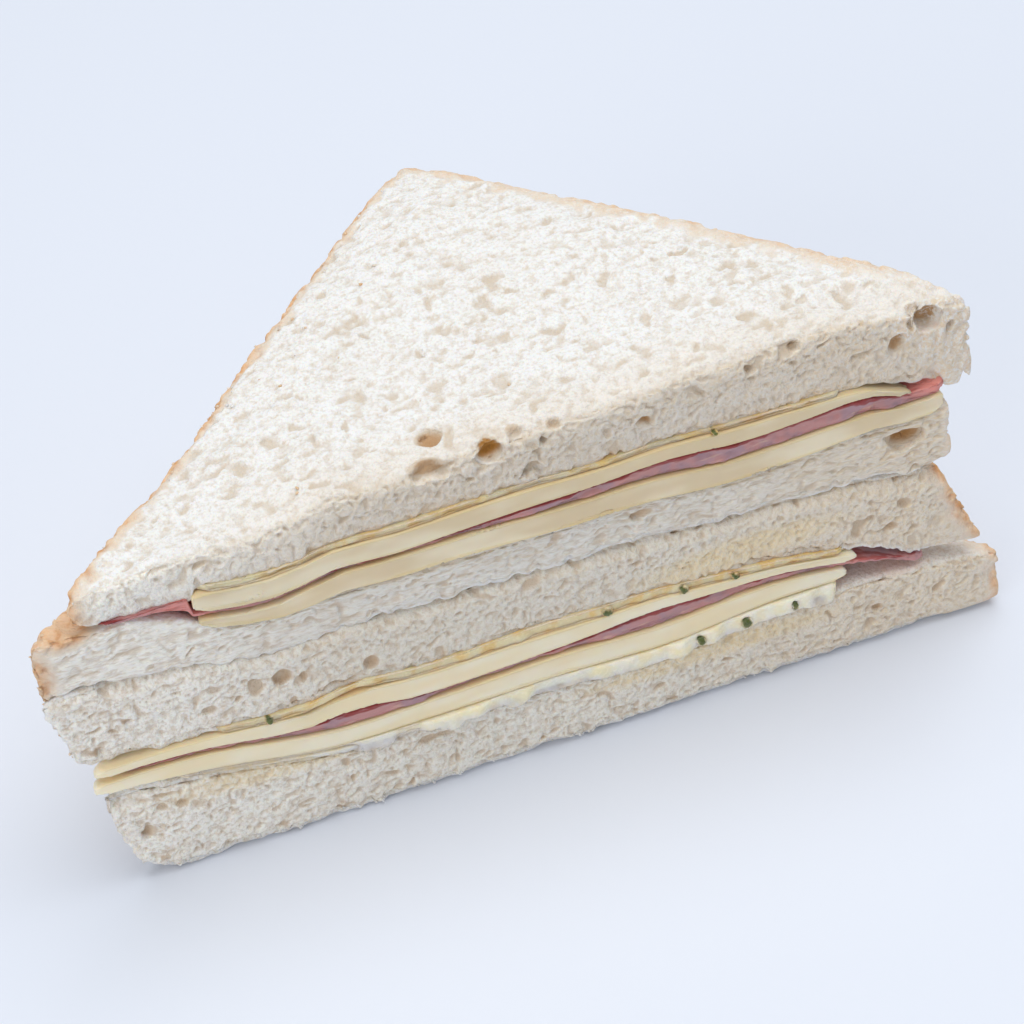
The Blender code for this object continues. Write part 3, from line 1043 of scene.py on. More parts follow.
@dataclass
class BreadSlice(Layer):
    """A slice of white bread, with its crumb opened up from the solid's plain skin."""

    bubbles: tuple[Bubbles, ...]
    bakes: dict[Side, Bake]
    voxel: float = 0.85
    top_bubbles: tuple[Bubbles, ...] = ()
    pores: tuple[Pore, ...] = ()
    smears: tuple[Spot, ...] = ()
    blushes: tuple[Spot, ...] = ()
    toasts: tuple[Spot, ...] = ()
    waves: Triple = (7.0, 5.0, 4.0)
    pits: tuple[Pits, ...] = ()
    top_pits: tuple[Pits, ...] = ()
    worn: tuple[Spot, ...] = ()
    bands: dict[Side, float] = field(default_factory=lambda: {Side.LEFT: 2.6, Side.RIGHT: 2.6})
    fray: float = 1.1
    hang: float = 0.0
    ragged: float = 0.8
    hang_until: float = 60.0
    crest: float = 0.0
    swellings: tuple[Spot, ...] = ()
    falls: tuple[Settling | Sag, ...] = ()
    suffix: ClassVar[str] = "crumb"
    slot: ClassVar[Slot] = Slot.CRUMB

    # From which to which share of its normal a point counts as cut or as top.
    facing_cut: ClassVar[tuple[float, float]] = (0.35, 0.75)
    facing_up: ClassVar[tuple[float, float]] = (0.55, 0.85)
    # How far noise bends the bubbles and the large holes, and the size of that noise.
    warp_size: ClassVar[float] = 2.2
    bubble_warp: ClassVar[float] = 2.4
    pore_warp: ClassVar[float] = 1.6
    # A hole this deep gets the full painted shade.
    full_shade_depth: ClassVar[float] = 1.7
    # Where the right corner turns calm, along the cut.
    calm_right: ClassVar[tuple[float, float]] = (68.0, 76.0)
    solid_right: ClassVar[tuple[float, float]] = (74.0, 78.0)
    # How far a crisp cut edge and the drawn-back rim reach from the middle.
    crisp_until: ClassVar[float] = 72.0
    crest_until: ClassVar[float] = 79.0

    def divide(self, piece: bpy.types.Object) -> None:
        """Makes the faces small where the crumb shows, and smallest on the cut.

        Args:
            piece: The slice.
        """
        Bench.remesh(piece, self.voxel)
        Bench.soften(piece, 2)
        up = Bench.face_normals(piece)[:, 2]
        Bench.divide_faces(piece, up > -0.5 if self.top_bubbles else np.abs(up) < 0.8)
        Bench.divide_faces(piece, Bench.face_normals(piece)[:, 1] < -0.72)

    def settle(self, piece: bpy.types.Object) -> None:
        """Takes the sharpness off the opened crumb."""
        Bench.soften(piece, 1)

    def shape(self, sculpt: Sculpt) -> None:
        """Opens the bubbles, roughens the crust, and keeps what the material needs.

        Args:
            sculpt: The slice's points.
        """
        skin = self.read_skin(sculpt)
        depth = self.crumb_depth(skin)
        self.sink_skin(sculpt, skin, depth)
        self.drape_rims(sculpt, skin)
        self.keep_marks(sculpt, skin, depth)

    def read_skin(self, sculpt: Sculpt) -> Skin:
        """Works out what each point of the slice is part of.

        Args:
            sculpt: The slice's points, not yet moved.

        Returns:
            The skin.
        """
        points, normals = sculpt.points.copy(), sculpt.normals
        wall = (np.abs(normals[:, 2]) < 0.5) & (normals[:, 1] > -0.45)
        bends = [soft_noise(points, self.warp_size, self.salt + 30 + i) for i in range(3)]
        return Skin(
            points,
            inward=-normals,
            on_cut=ease(-normals[:, 1], *self.facing_cut),
            on_top=ease(normals[:, 2], *self.facing_up),
            crust=np.maximum(self.crust_share(points, wall), spots_share(self.toasts, points)),
            rise=rise_on_cut(points),
            bend=np.stack(bends, axis=1) - 0.5,
        )

    def crumb_depth(self, skin: Skin) -> np.ndarray:
        """Works out how deep the bubbles and the torn pits are.

        Args:
            skin: The slice's skin.

        Returns:
            Depths in millimetres.
        """
        crumb = 1.0 - skin.crust
        bent = skin.points + skin.bend * self.bubble_warp
        depth = np.zeros(len(bent))
        for kinds, facing, salt in ((self.bubbles, skin.on_cut, 0), (self.top_bubbles, skin.on_top, 5)):
            shown = facing > 0.0
            for i, kind in enumerate(kinds):
                opened = kind.depth(bent[shown], skin.inward[shown], self.salt * 10 + salt + i)
                depth[shown] = np.maximum(depth[shown], opened * facing[shown] * crumb[shown])
        for i, pits in enumerate((*self.pits, *self.top_pits)):
            facing = skin.on_top if i >= len(self.pits) else skin.on_cut
            depth = np.maximum(depth, pits.depth(bent, self.salt + 50 + i) * facing * crumb)
        return depth

    def sink_skin(self, sculpt: Sculpt, skin: Skin, depth: np.ndarray) -> None:
        """Sinks the holes, the swell of the crumb, its torn edges and the rough crust.

        Args:
            sculpt: The slice's points.
            skin: The slice's skin.
            depth: Depth of the bubbles and pits at each point.
        """
        points, rise = skin.points, skin.rise
        along = points[:, 0]
        for pore in self.pores:
            depth = np.maximum(depth, pore.depth(points + skin.bend * self.pore_warp, skin.inward))
        open_face = np.maximum(skin.on_cut, skin.on_top) * (1.0 - skin.crust)
        swell = soft_noise(points, self.waves, self.salt) * 0.5
        rough = ease(soft_noise(points, 1.2, self.salt + 1), 0.3, 0.8) * 0.8
        rough += soft_noise(points, 3.2, self.salt + 2) * 0.7
        torn = soft_noise(points, 1.3, self.salt + 4)
        torn = torn * (0.3 + soft_noise(points, 5.0, self.salt + 5)) * 1.8
        torn *= 1.0 - 0.7 * ease(along, *self.calm_right)
        edges = np.maximum(1.0 - ease(rise, 0.0, 0.16), ease(rise, 0.88, 1.0) * 0.6) * skin.on_cut
        solid = 1.0 - ease(along, *self.solid_right) * (1.0 - ease(rise, 0.2, 0.5))
        sink = depth + swell * open_face + rough * skin.crust + spots_share(self.worn, points)
        crisp = 1.0 - ease(rise, 0.3, 0.5) if self.top_bubbles else 1.0
        sculpt.square_up(0.7, 2.4, crisp * (np.abs(along) < self.crisp_until))
        sculpt.sink((sink + torn * edges * self.fray) * solid)

    def drape_rims(self, sculpt: Sculpt, skin: Skin) -> None:
        """Draws back the upper rim, and lets the lower one hang in ragged tatters.

        Args:
            sculpt: The slice's points.
            skin: The slice's skin.
        """
        points, rise = skin.points, skin.rise
        along, behind = points[:, 0], points[:, 1]
        brow = ease(rise, 0.78, 0.98) * (1.0 - ease(behind, 1.0, 4.0)) * (np.abs(along) < self.crest_until)
        sculpt.points[:, 1] += self.crest * brow * (0.7 + 0.6 * self.tatters(points, 5.0, 8))
        for fall in self.falls:
            sculpt.points[:, 2] -= fall.fall(points) * (1.0 - ease(rise, 0.0, 0.7))
        fringe = ease(self.tatters(points, 1.2, 6), 0.25, 0.8)
        fringe *= 0.3 + 1.4 * self.tatters(points, 5.0, 7)
        fringe = (fringe - 0.3) * (1.0 - ease(along, 68.0, 75.0))
        hanging = 1.0 - ease(np.abs(along), self.hang_until - 4.0, self.hang_until + 4.0)
        lowered = (self.hang * 0.4 * hanging + self.ragged * fringe) * (1.0 - ease(behind, 1.5, 4.0))
        sculpt.points[:, 2] -= lowered * (1.0 - ease(rise, 0.04, 0.3))
        sculpt.points[:, 2] += spots_share(self.swellings, points) * ease(rise, 0.4, 1.0)

    def tatters(self, points: np.ndarray, size: float, salt: int) -> np.ndarray:
        """Noise along the cut that hardly changes behind it."""
        return soft_noise(points, (size, 9.0, 9.0), self.salt + salt)

    def keep_marks(self, sculpt: Sculpt, skin: Skin, depth: np.ndarray) -> None:
        """Keeps on the mesh what the material needs.

        Args:
            sculpt: The slice's moved points.
            skin: The slice's skin.
            depth: Depth of the bubbles and pits at each point.
        """
        points, on_cut = skin.points, skin.on_cut
        along = points[:, 0]
        shades = np.zeros(len(points))
        for pore in self.pores:
            shades = np.maximum(shades, pore.shade(sculpt.points))
        # Painted shade on the top near its front edge, where the top curves down.
        front = (1.0 - ease(points[:, 1], 2.0, 15.0)) * ease(along, -70.0, -30.0) * 0.4
        marks = {
            # Painted shade in the holes, by their depth and by the large holes' own shade.
            "hollow_shade": np.clip(np.maximum(depth / self.full_shade_depth, shades), 0.0, 1.0),
            # Cut faces, which take a darker colour: painted shade.
            "cut": on_cut,
            "crust": skin.crust,
            "bake": self.bake_share(points),
            "smear": spots_share(self.smears, points),
            "blush": spots_share(self.blushes, points),
            # Warmer towards the right on the cut faces; painted shade on the top near its front edge.
            "warmth_and_front_shade": np.maximum(ease(along, 10.0, 72.0) * on_cut, front * skin.on_top),
            # Painted light: cut faces lighter towards the left end.
            "painted_left_light": ease(-along, 25.0, 75.0) * on_cut,
        }
        for name, values in marks.items():
            sculpt.store(name, values)

    def crust_share(self, points: np.ndarray, wall: np.ndarray) -> np.ndarray:
        """Works out how much of each point is crust, from how near the crust's outer face is.

        Args:
            points: Points of the surface, in millimetres.
            wall: True for each point on that outer face.

        Returns:
            Shares from 0, crumb, to 1, crust.
        """
        tree = kdtree.KDTree(int(wall.sum()))
        for i, point in enumerate(points[wall]):
            tree.insert(point, i)
        tree.balance()
        near = (points[:, 1] > 4.0) | (points[:, 0] < -60.0) | (points[:, 0] > 55.0)
        gap = np.full(len(points), 99.0)
        gap[near] = [tree.find(point)[2] for point in points[near]]
        to_right = right_share(points)
        band = self.bands[Side.LEFT] * (1.0 - to_right) + self.bands[Side.RIGHT] * to_right
        ragged = band * (0.5 + 0.9 * soft_noise(points, 1.8, self.salt + 3))
        return 1.0 - np.clip(gap / ragged, 0.0, 1.0)

    def bake_share(self, points: np.ndarray) -> np.ndarray:
        """Works out how brown the crust is at each point.

        Args:
            points: Points of the surface, in millimetres.

        Returns:
            Shares from 0, pale, to 1, brown.
        """
        left, right = (self.bakes[side].share(points) for side in (Side.LEFT, Side.RIGHT))
        to_right = right_share(points)
        return left * (1.0 - to_right) + right * to_right


@dataclass
class CheeseSlice(Layer):
    """A slice of cheese with a soft wavy edge."""

    nicks: tuple[Spot, ...] = ()
    settling: Settling | None = None
    slot: ClassVar[Slot] = Slot.CHEESE
    longest: ClassVar[float] = 0.7

    def divide(self, piece: bpy.types.Object) -> None:
        """Makes the faces near the cut small, and rounds the slice's edges."""
        super().divide(piece)
        Bench.soften(piece, 2)

    def shape(self, sculpt: Sculpt) -> None:
        """Waves and nicks the cut edge.

        Args:
            sculpt: The slice's points.
        """
        points = sculpt.points
        on_cut = ease(-sculpt.normals[:, 1], 0.0, 0.6)
        along = points * np.array((1.0, 0.0, 0.25))
        waves = soft_noise(along, 11.0, self.salt) * 0.4 + soft_noise(along, 2.2, self.salt + 1) * 0.12
        sculpt.store("rise", rise_on_cut(points))
        sculpt.square_up(0.75, 1.6)
        sculpt.sink(on_cut * (waves + spots_share(self.nicks, points)))
        if self.settling is not None:
            sculpt.points[:, 2] -= self.settling.fall(points)


@dataclass
class HamSlice(Layer):
    """A thin slice of ham with a ragged, folded edge."""

    flares: tuple[Spot, ...] = ()
    flap: float = 0.0
    settling: Settling | None = None
    slot: ClassVar[Slot] = Slot.HAM

    def shape(self, sculpt: Sculpt) -> None:
        """Folds and frays the cut edge, and turns up its flap.

        Args:
            sculpt: The slice's points.
        """
        points = sculpt.points
        rise = rise_on_cut(points)
        on_cut = ease(-sculpt.normals[:, 1], 0.0, 0.6)
        folds = soft_noise(points, (5.0, 50.0, 1.2), self.salt) * 0.7
        frays = soft_noise(points, (1.1, 50.0, 0.6), self.salt + 1) * 0.35
        sculpt.store("rise", rise)
        sculpt.store("flare", spots_share(self.flares, points))
        sculpt.sink(on_cut * (folds + frays - 0.3))
        turned_up = ease(points[:, 0], -77.5, -62.5) * (1.0 - ease(points[:, 0], -61.8, -61.0))
        sculpt.points[:, 2] += self.flap * turned_up * rise * (1.0 - ease(points[:, 1], 1.5, 4.5))
        if self.settling is not None:
            sculpt.points[:, 2] -= self.settling.fall(points) * rise


@dataclass(frozen=True)
class Chive:
    """A fleck of chive on the spread, by its place along the cut and its half length, in millimetres."""

    along: float
    half: float


@dataclass
class SpreadLayer(Layer):
    """A layer of mayonnaise that bulges out between its neighbours."""

    chives: tuple[Chive, ...] = ()
    recess: tuple[tuple[float, float], ...] = ((0.0, 0.7),)
    drip: float = 0.0
    lumpy: float = 1.0
    suffix: ClassVar[str] = "layer"
    slot: ClassVar[Slot] = Slot.SPREAD
    fine_until: ClassVar[float] = 4.0

    def shape(self, sculpt: Sculpt) -> None:
        """Lets the spread bulge, run down in places and set back at its ends.

        Args:
            sculpt: The layer's points.
        """
        points = sculpt.points
        on_cut = ease(-sculpt.normals[:, 1], 0.0, 0.6)
        rise = rise_on_cut(points)
        herb = self.herb_share(points, rise)
        lumps = soft_noise(points, (3.0, 50.0, 50.0), self.salt) * 0.7
        lumps += soft_noise(points, 1.4, self.salt + 1) * 0.3
        drips = 0.4 + 0.6 * ease(soft_noise(points, (4.0, 50.0, 50.0), self.salt + 2), 0.45, 0.8)
        recess = np.interp(points[:, 0], *zip(*self.recess))
        sculpt.store("herb", herb)
        sculpt.points[:, 1] += on_cut * ((lumps - 0.5) * self.lumpy + recess) * (1.0 - herb * 0.6)
        sculpt.points[:, 2] -= on_cut * drips * (1.0 - rise) * self.drip

    def herb_share(self, points: np.ndarray, rise: np.ndarray) -> np.ndarray:
        """Works out which points belong to a fleck of chive.

        Args:
            points: The layer's points, in millimetres.
            rise: How high each lies in the layer, from 0 to 1.

        Returns:
            Shares from 0, mayonnaise, to 1, chive.
        """
        total = np.zeros(len(points))
        front = points[:, 1].min()
        for chive in self.chives:
            along = (points[:, 0] - chive.along + (rise - 0.5) * chive.half) / chive.half
            gap = np.sqrt(along**2 + ((rise - 0.5) / 0.42) ** 2)
            total = np.maximum(total, (1.0 - ease(gap, 0.7, 1.0)) * (points[:, 1] < front + 2.6))
        return total


@dataclass
class Crumbs:
    """Loose crumbs that cling to the crusts and the lower edge."""

    grains: int = 420
    smallest: float = 0.12
    largest: float = 0.42
    crust_above: float = 22.0
    foot: float = 1.6
    foot_until: float = 40.0
    left_until: float = 10.0
    corner_until: float = -70.0
    seed: int = 324

    def build(self, breads: list[bpy.types.Object]) -> bpy.types.Object:
        """Makes the crumbs.

        Args:
            breads: The finished slices, bottom to top.

        Returns:
            All crumbs as one piece.
        """
        chance = np.random.default_rng(self.seed)
        homes = [self.homes(bread, place) for place, bread in enumerate(breads)]
        bpy.ops.object.select_all(action="DESELECT")
        bpy.ops.mesh.primitive_ico_sphere_add(subdivisions=1, radius=MM, location=(0.0, 0.0, 0.0))
        pattern = bpy.context.object
        pieces = []
        for number in range(self.grains):
            home = homes[chance.integers(len(homes))]
            if len(home):
                pieces.append(self.grain(pattern, number, home[chance.integers(len(home))], chance))
        bpy.data.objects.remove(pattern)
        crumbs = pieces[0]
        Bench.pick(crumbs)
        for piece in pieces:
            piece.select_set(True)
        bpy.ops.object.join()
        crumbs.name = "crumbs"
        self.hold_inside(crumbs)
        self.keep_marks(Sculpt(crumbs))
        CrumbFinish("crumb grains").dress(crumbs)
        Bench.pick(crumbs)
        bpy.ops.object.shade_smooth()
        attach(crumbs, "root")
        Bench.report(crumbs)
        return crumbs

    def grain(
        self, pattern: bpy.types.Object, number: int, place: np.ndarray, chance: np.random.Generator
    ) -> bpy.types.Object:
        """Makes one lumpy crumb.

        Args:
            pattern: The ball that each crumb starts from.
            number: The crumb's number.
            place: Where it clings, in millimetres.
            chance: Gives its size, turn and stretch.

        Returns:
            The crumb, with its own mesh.
        """
        size = chance.uniform(self.smallest, self.largest)
        ball = Sculpt(pattern).points - MIDDLE_OF_STACK
        lumps = 0.4 + 1.2 * soft_noise(ball + number * 7.0, 0.6, 90)
        turn = np.linalg.qr(chance.normal(size=(3, 3)))[0]
        piece = bpy.data.objects.new(f"crumb_{number}", pattern.data.copy())
        bpy.context.scene.collection.objects.link(piece)
        sculpt = Sculpt(piece)
        sculpt.points = (ball * lumps[:, None] * chance.uniform(0.6, 1.2, 3) * size) @ turn + place
        sculpt.write()
        return piece

    def keep_marks(self, sculpt: Sculpt) -> None:
        """Marks the crumbs high on the stack as bits of crust.

        Args:
            sculpt: The crumbs' points.
        """
        browned = soft_noise(sculpt.points, 6.0, 91)
        for name in ("hollow_shade", "smear", "blush", "cut", "warmth_and_front_shade", "painted_left_light"):
            sculpt.store(name, np.zeros(len(browned)))
        sculpt.store("crust", ease(browned, 0.3, 0.5) * (sculpt.points[:, 2] > self.crust_above))
        sculpt.store("bake", browned)

    def homes(self, bread: bpy.types.Object, place: int) -> np.ndarray:
        """Finds where crumbs cling to a slice.

        Args:
            bread: The slice.
            place: Its place in the stack, from 0 at the bottom.

        Returns:
            Points of its surface, in millimetres.
        """
        sculpt = Sculpt(bread)
        points, normals = sculpt.points, sculpt.normals
        along = points[:, 0]
        if place == 0:
            return points[(points[:, 2] < self.foot) & (normals[:, 1] < -0.5) & (along < self.foot_until)]
        left = (along < self.left_until) & (normals[:, 0] < -0.35) & (normals[:, 1] > -0.3)
        return points[left & (normals[:, 2] > 0.1 if place > 1 else along < self.corner_until)]

    def hold_inside(self, crumbs: bpy.types.Object) -> None:
        """Keeps every crumb within the box of the stack.

        Args:
            crumbs: All crumbs as one piece.
        """
        nodes = [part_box(node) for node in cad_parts]
        low = np.min([box[0] for box in nodes], axis=0)
        high = np.max([box[1] for box in nodes], axis=0)
        sculpt = Sculpt(crumbs)
        sculpt.points = np.clip(sculpt.points, low / MM + MIDDLE_OF_STACK, high / MM + MIDDLE_OF_STACK)
        sculpt.write()


@dataclass
class Studio:
    """The floor, the lights and the camera, whose place is in metres and whose angles are in radians."""

    floor_size: float = 6.0
    floor_height: float = -0.0002
    room: Colour = (0.93, 0.96, 1.0)
    room_strength: float = 0.4
    aim: Triple = (0.0, 0.0, 0.04)
    eye: Triple = (-0.123274, -0.418024, 0.4220)
    turn: float = -0.3058
    tilt: float = 0.743
    roll: float = 0.0913
    lens: float = 112.5
    sensor: float = 36.0

    def lay_floor(self) -> bpy.types.Object:
        """Makes the floor.

        Returns:
            The floor.
        """
        bpy.ops.object.select_all(action="DESELECT")
        place = (0.0, 0.0, self.floor_height)
        bpy.ops.mesh.primitive_plane_add(size=self.floor_size, location=place)
        floor = bpy.context.object
        floor.name = "floor"
        looks = Looks("pale floor")
        looks.set(base_color=paint(226, 231, 242), roughness=0.6)
        looks.put_on(floor)
        return floor

    def hang_light(self, name: str, place: Triple, size: float, power: float, colour: Colour) -> None:
        """Hangs a soft square light that faces the sandwich.

        Args:
            name: The light's name.
            place: Where it hangs, in metres.
            size: Its side, in metres.
            power: Its power, in watts.
            colour: Its colour.
        """
        lamp = bpy.data.lights.new(name, "AREA")
        lamp.shape = "SQUARE"
        lamp.size = size
        lamp.energy = power
        lamp.color = colour
        holder = bpy.data.objects.new(name, lamp)
        turn = (Vector(self.aim) - Vector(place)).to_track_quat("-Z", "Y").to_matrix().to_4x4()
        holder.matrix_world = Matrix.Translation(place) @ turn
        bpy.context.scene.collection.objects.link(holder)

    def light(self) -> None:
        """Sets the soft light of the room and the lamps."""
        world = bpy.data.worlds.new("soft room")
        world.use_nodes = True
        backdrop = world.node_tree.nodes["Background"]
        backdrop.inputs["Color"].default_value = (*self.room, 1.0)
        backdrop.inputs["Strength"].default_value = self.room_strength
        bpy.context.scene.world = world
        self.hang_light("window", (0.15, 0.05, 1.25), 1.3, 13.3, (0.97, 0.99, 1.0))
        self.hang_light("fill", (-1.0, -0.75, 0.5), 0.9, 4.6, (1.0, 0.97, 0.92))
        bpy.context.scene.view_settings.view_transform = "Standard"

    def place_camera(self) -> None:
        """Places the camera at the picture's viewing angle."""
        level_share = math.cos(self.tilt)
        ahead = math.cos(self.turn) * level_share
        look = Vector((-math.sin(self.turn) * level_share, ahead, -math.sin(self.tilt)))
        level = look.cross(Vector((0.0, 0.0, 1.0))).normalized()
        down = look.cross(level)
        right = math.cos(self.roll) * level + math.sin(self.roll) * down
        low = -math.sin(self.roll) * level + math.cos(self.roll) * down
        camera = bpy.data.cameras.new("camera")
        camera.lens = self.lens
        camera.sensor_width = self.sensor
        camera.clip_start = 0.01
        holder = bpy.data.objects.new("camera", camera)
        axes = Matrix((right, -low, -look)).transposed().to_4x4()
        holder.matrix_world = Matrix.Translation(self.eye) @ axes
        bpy.context.scene.collection.objects.link(holder)
        bpy.context.scene.camera = holder


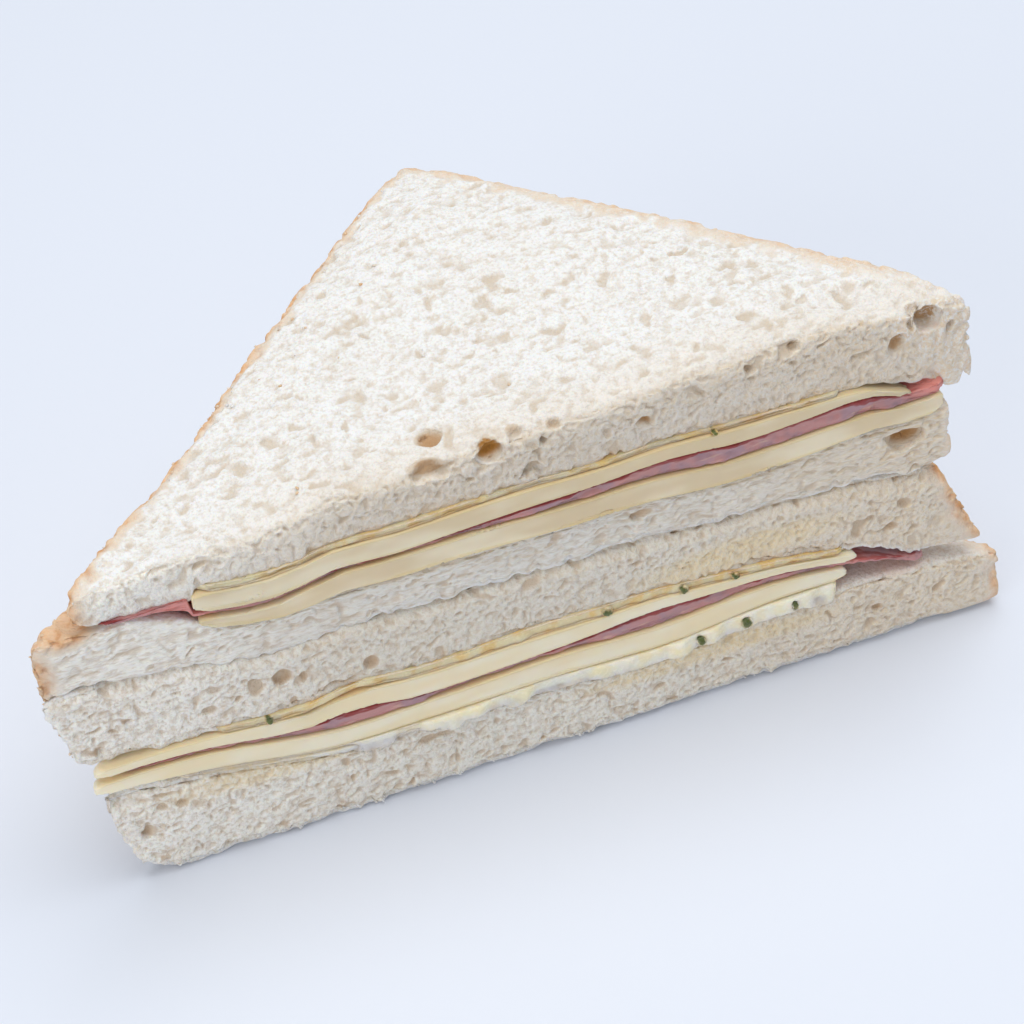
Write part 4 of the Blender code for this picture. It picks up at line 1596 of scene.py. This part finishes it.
@dataclass
class Sandwich:
    """The whole stack, bottom to top."""

    breads: list[BreadSlice] = field(default_factory=list)
    cheeses: list[CheeseSlice] = field(default_factory=list)
    hams: list[HamSlice] = field(default_factory=list)
    spreads: list[SpreadLayer] = field(default_factory=list)

    def stack(self) -> None:
        """Names every layer with its own crumb, bake and marks."""
        self.stack_breads()
        cheese = CheeseFinish("mild cheese")
        bright = CheeseFinish(
            "mild cheese, brighter", body=paint(246, 227, 190), pale=paint(249, 236, 210)
        )
        self.cheeses = [
            CheeseSlice("cheese_bottom", 41, bright),
            CheeseSlice("cheese_lower", 42, bright),
            CheeseSlice(
                "cheese_middle", 43, cheese,
                nicks=(Spot((12.0, 0.0, 51.0), (2.2, 5.0, 1.6), 0.5),),
            ),
            CheeseSlice("cheese_upper", 44, cheese, settling=Settling()),
        ]
        ham = HamFinish("cooked ham")
        # The flares are lighter pink patches at the ham's ends, partly painted light on their shade.
        self.hams = [
            HamSlice("ham_lower", 51, ham, flares=(Spot((62.0, 2.0, 27.0), (16.0, 9.0, 8.0)),)),
            HamSlice(
                "ham_upper", 52, ham, flap=5.5,
                flares=(
                    Spot((-66.0, 0.0, 54.0), (16.0, 8.0, 7.0)),
                    Spot((76.0, 2.0, 60.0), (11.0, 9.0, 8.0)),
                ),
                settling=Settling(),
            ),
        ]
        mayo = SpreadFinish("mayonnaise")
        self.spreads = [
            SpreadLayer(
                "spread_bottom", 61,
                # Lighter cream and yellow: painted light that lifts this layer out of its shade under the
                # cheese.
                SpreadFinish("thick mayonnaise, painted lighter", paint(255, 241, 220), paint(255, 231, 190)),
                (Chive(27.8, 0.9), Chive(36.7, 1.1), Chive(46.1, 0.7)),
                recess=((-60.0, 1.8), (-40.0, 0.9), (-20.0, 0.0), (54.0, -0.1)), drip=2.7, lumpy=1.9,
            ),
            SpreadLayer(
                "spread_lower", 62, mayo,
                (Chive(-51.7, 0.7), Chive(10.6, 1.1), Chive(25.1, 0.9), Chive(35.0, 0.8)), drip=0.8,
            ),
            SpreadLayer("spread_upper", 63, mayo, (Chive(32.4, 0.6),), drip=0.7),
        ]

    def stack_breads(self) -> None:
        """Names the four slices of bread."""
        fine = Bubbles(1.1, 0.5, (0.18, 0.42), 0.25, (1.25, 1.0, 0.9))
        middling = Bubbles(2.6, 0.4, (0.14, 0.36), 0.5, (1.35, 1.0, 0.85))
        large = Bubbles(6.0, 0.22, (0.12, 0.26), 1.0, (1.4, 1.0, 0.85))
        pits = (
            Pits((0.75, 0.65, 0.6), 0.46, 0.42),
            Pits((1.15, 1.0, 0.9), 0.55, 0.55),
            Pits((2.8, 2.2, 1.8), 0.72, 0.8),
        )
        # Each slice's cut colour is painted shade of its cut face, lighter or darker per slice as it is lit.
        self.breads = [
            BreadSlice(
                "bread_bottom", 11, CrumbFinish("crumb bottom", cut=paint(237, 232, 219)),
                (fine, middling, large),
                {Side.LEFT: Bake(0.1, 0.55), Side.RIGHT: Bake(0.6, 0.65)},
                voxel=0.95,
                # Each hole's painted shade has the strength of its third number, 0.62 where left out.
                pores=(
                    Pore((-75.6, -1.6, 11.7), (1.5, 1.6, 1.3)),
                    Pore((-69.1, -1.8, 16.5), (1.3, 1.4, 1.2)),
                    Pore((-73.8, -1.9, 4.3), (0.9, 1.0, 0.8)),
                    Pore((63.2, -1.8, 8.7), (1.2, 1.2, 0.9)),
                ),
                smears=(
                    Spot((-50.0, -1.5, 18.0), (30.0, 8.0, 4.5), 0.7),
                    Spot((30.0, -1.5, 11.5), (34.0, 8.0, 3.4), 0.8),
                ),
                blushes=(Spot((73.0, 4.0, 17.5), (15.0, 16.0, 3.0), 0.7),),
                pits=pits,
                bands={Side.LEFT: 2.0, Side.RIGHT: 4.5},
                worn=(
                    Spot((-80.0, -2.0, -1.0), (8.0, 8.0, 7.0), 3.0),
                    Spot((-79.0, -2.0, 22.0), (5.0, 6.0, 4.0), 1.5),
                ),
                fray=1.9,
            ),
            BreadSlice(
                "bread_lower", 12, CrumbFinish("crumb lower", cut=paint(223, 215, 198)),
                (fine, middling, large),
                {Side.LEFT: Bake(0.05, 0.5), Side.RIGHT: Bake(0.85, 0.7)},
                voxel=0.93,
                pores=(
                    Pore((-53.0, -1.4, 37.4), (1.4, 1.8, 2.3)),
                    Pore((-48.3, -1.2, 37.8), (1.8, 1.2, 1.9)),
                    Pore((-44.6, -1.2, 36.2), (0.8, 1.0, 1.2)),
                    Pore((-32.4, -1.2, 34.7), (1.4, 1.1, 1.7)),
                    Pore((68.3, -1.2, 32.3), (1.5, 1.3, 1.3)),
                    Pore((65.6, -1.2, 27.3), (1.4, 1.1, 0.8)),
                    Pore((-81.1, -1.2, 33.9), (1.1, 1.2, 1.2)),
                    Pore((-75.5, -1.2, 39.3), (1.0, 1.0, 0.9)),
                ),
                smears=(Spot((36.0, -1.2, 33.5), (26.0, 8.0, 4.5), 0.8),),
                pits=pits,
                hang=2.6,
                hang_until=76.0,
                ragged=0.8,
                crest=1.9,
                bands={Side.LEFT: 2.4, Side.RIGHT: 5.0},
            ),
            BreadSlice(
                "bread_middle", 13, CrumbFinish("crumb middle", grain=(2.5, 1.0, 0.7)),
                (
                    Bubbles(1.1, 0.6, (0.18, 0.42), 0.3, (2.4, 1.0, 0.6)),
                    Bubbles(2.6, 0.5, (0.16, 0.38), 0.6, (2.4, 1.0, 0.6)),
                ),
                {Side.LEFT: Bake(0.75, 0.8), Side.RIGHT: Bake(0.3, 0.6)},
                pores=(
                    Pore((68.6, -0.3, 46.9), (3.8, 2.8, 2.3), 0.85),
                    Pore((18.3, -0.4, 48.5), (2.4, 1.2, 1.0)),
                ),
                toasts=(
                    Spot((-82.5, 5.0, 60.5), (9.0, 11.0, 4.5), 1.0),
                    Spot((-89.0, 3.0, 54.0), (6.0, 8.0, 10.0), 0.9),
                ),
                waves=(14.0, 6.0, 1.6),
                falls=(Sag(-95.0, -88.0, -30.0, 1.3),),
                pits=(Pits((1.3, 0.8, 0.55), 0.47, 0.4), Pits((2.6, 1.4, 0.9), 0.6, 0.5)),
                fray=1.5,
                hang=1.6,
                ragged=1.0,
                swellings=(Spot((-67.0, 0.0, 56.0), (15.0, 7.0, 6.0), 2.6),),
            ),
            BreadSlice(
                "bread_top",
                14,
                CrumbFinish(
                    "crumb top",
                    crumb=paint(241, 240, 238),
                    cut=paint(219, 204, 182),
                    warm=paint(228, 208, 180),
                    shaded=paint(219, 209, 197),
                    hollow_shade=paint(209, 191, 168),
                ),
                (fine, middling, large),
                {Side.LEFT: Bake(0.8, 0.9), Side.RIGHT: Bake(0.05, 0.5)},
                voxel=0.92,
                top_bubbles=(
                    Bubbles(3.0, 0.5, (0.18, 0.4), 0.5, (1.5, 1.0, 1.0)),
                    Bubbles(6.5, 0.3, (0.12, 0.24), 0.8, (1.5, 1.0, 1.0)),
                ),
                pores=(
                    Pore((-7.0, 0.6, 71.3), (2.4, 2.8, 2.0), 1.0),
                    Pore((-2.4, 1.6, 73.0), (1.6, 1.6, 1.1)),
                    Pore((2.2, 0.4, 71.1), (0.9, 1.1, 0.8)),
                    Pore((4.4, 1.3, 72.9), (1.2, 1.0, 1.1)),
                    Pore((-17.7, 1.2, 71.1), (3.5, 2.0, 1.4), 0.75),
                    Pore((-0.8, 0.0, 66.3), (2.8, 1.2, 0.9)),
                    Pore((20.1, -0.2, 68.7), (1.8, 1.7, 1.3), 0.9),
                    Pore((39.4, 0.2, 73.0), (1.2, 1.2, 1.1)),
                    Pore((47.7, 1.2, 74.6), (1.2, 1.2, 1.0)),
                    Pore((73.2, 1.4, 71.3), (2.3, 2.3, 2.3), 0.8),
                    Pore((70.6, 1.6, 73.9), (1.2, 1.3, 1.2)),
                    Pore((69.7, 0.3, 71.6), (0.9, 1.0, 0.9)),
                    Pore((66.9, 0.0, 68.7), (1.6, 1.6, 1.9), 0.8),
                    Pore((74.1, 0.0, 62.9), (1.8, 1.4, 1.3)),
                    Pore((77.2, 0.2, 69.2), (0.8, 1.0, 1.1)),
                    Pore((-15.4, 8.0, 73.2), (2.6, 2.0, 1.8), 0.8),
                ),
                smears=(Spot((-30.0, 0.0, 58.5), (34.0, 5.0, 3.0), 0.6),),
                pits=pits,
                top_pits=(Pits((1.3, 1.1, 1.1), 0.5, 0.4), Pits((2.5, 1.7, 1.7), 0.6, 0.6)),
                bands={Side.LEFT: 4.2, Side.RIGHT: 6.5},
                hang=3.2,
                ragged=0.9,
                falls=(Settling(), Sag(-82.0, -65.0, -59.5, 4.4), Sag(72.0, 77.5, 80.2, 3.0)),
            ),
        ]

    def build(self) -> None:
        """Builds every layer and reports it."""
        breads = [bread.build() for bread in self.breads]
        for filling in (*self.cheeses, *self.hams, *self.spreads):
            filling.build()
        Crumbs().build(breads)


def main() -> None:
    logging.basicConfig(level=logging.INFO, format="%(message)s")
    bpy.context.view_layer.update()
    studio = Studio()
    studio.place_camera()
    studio.lay_floor()
    studio.light()
    sandwich = Sandwich()
    sandwich.stack()
    sandwich.build()


if __name__ == "__main__":
    main()
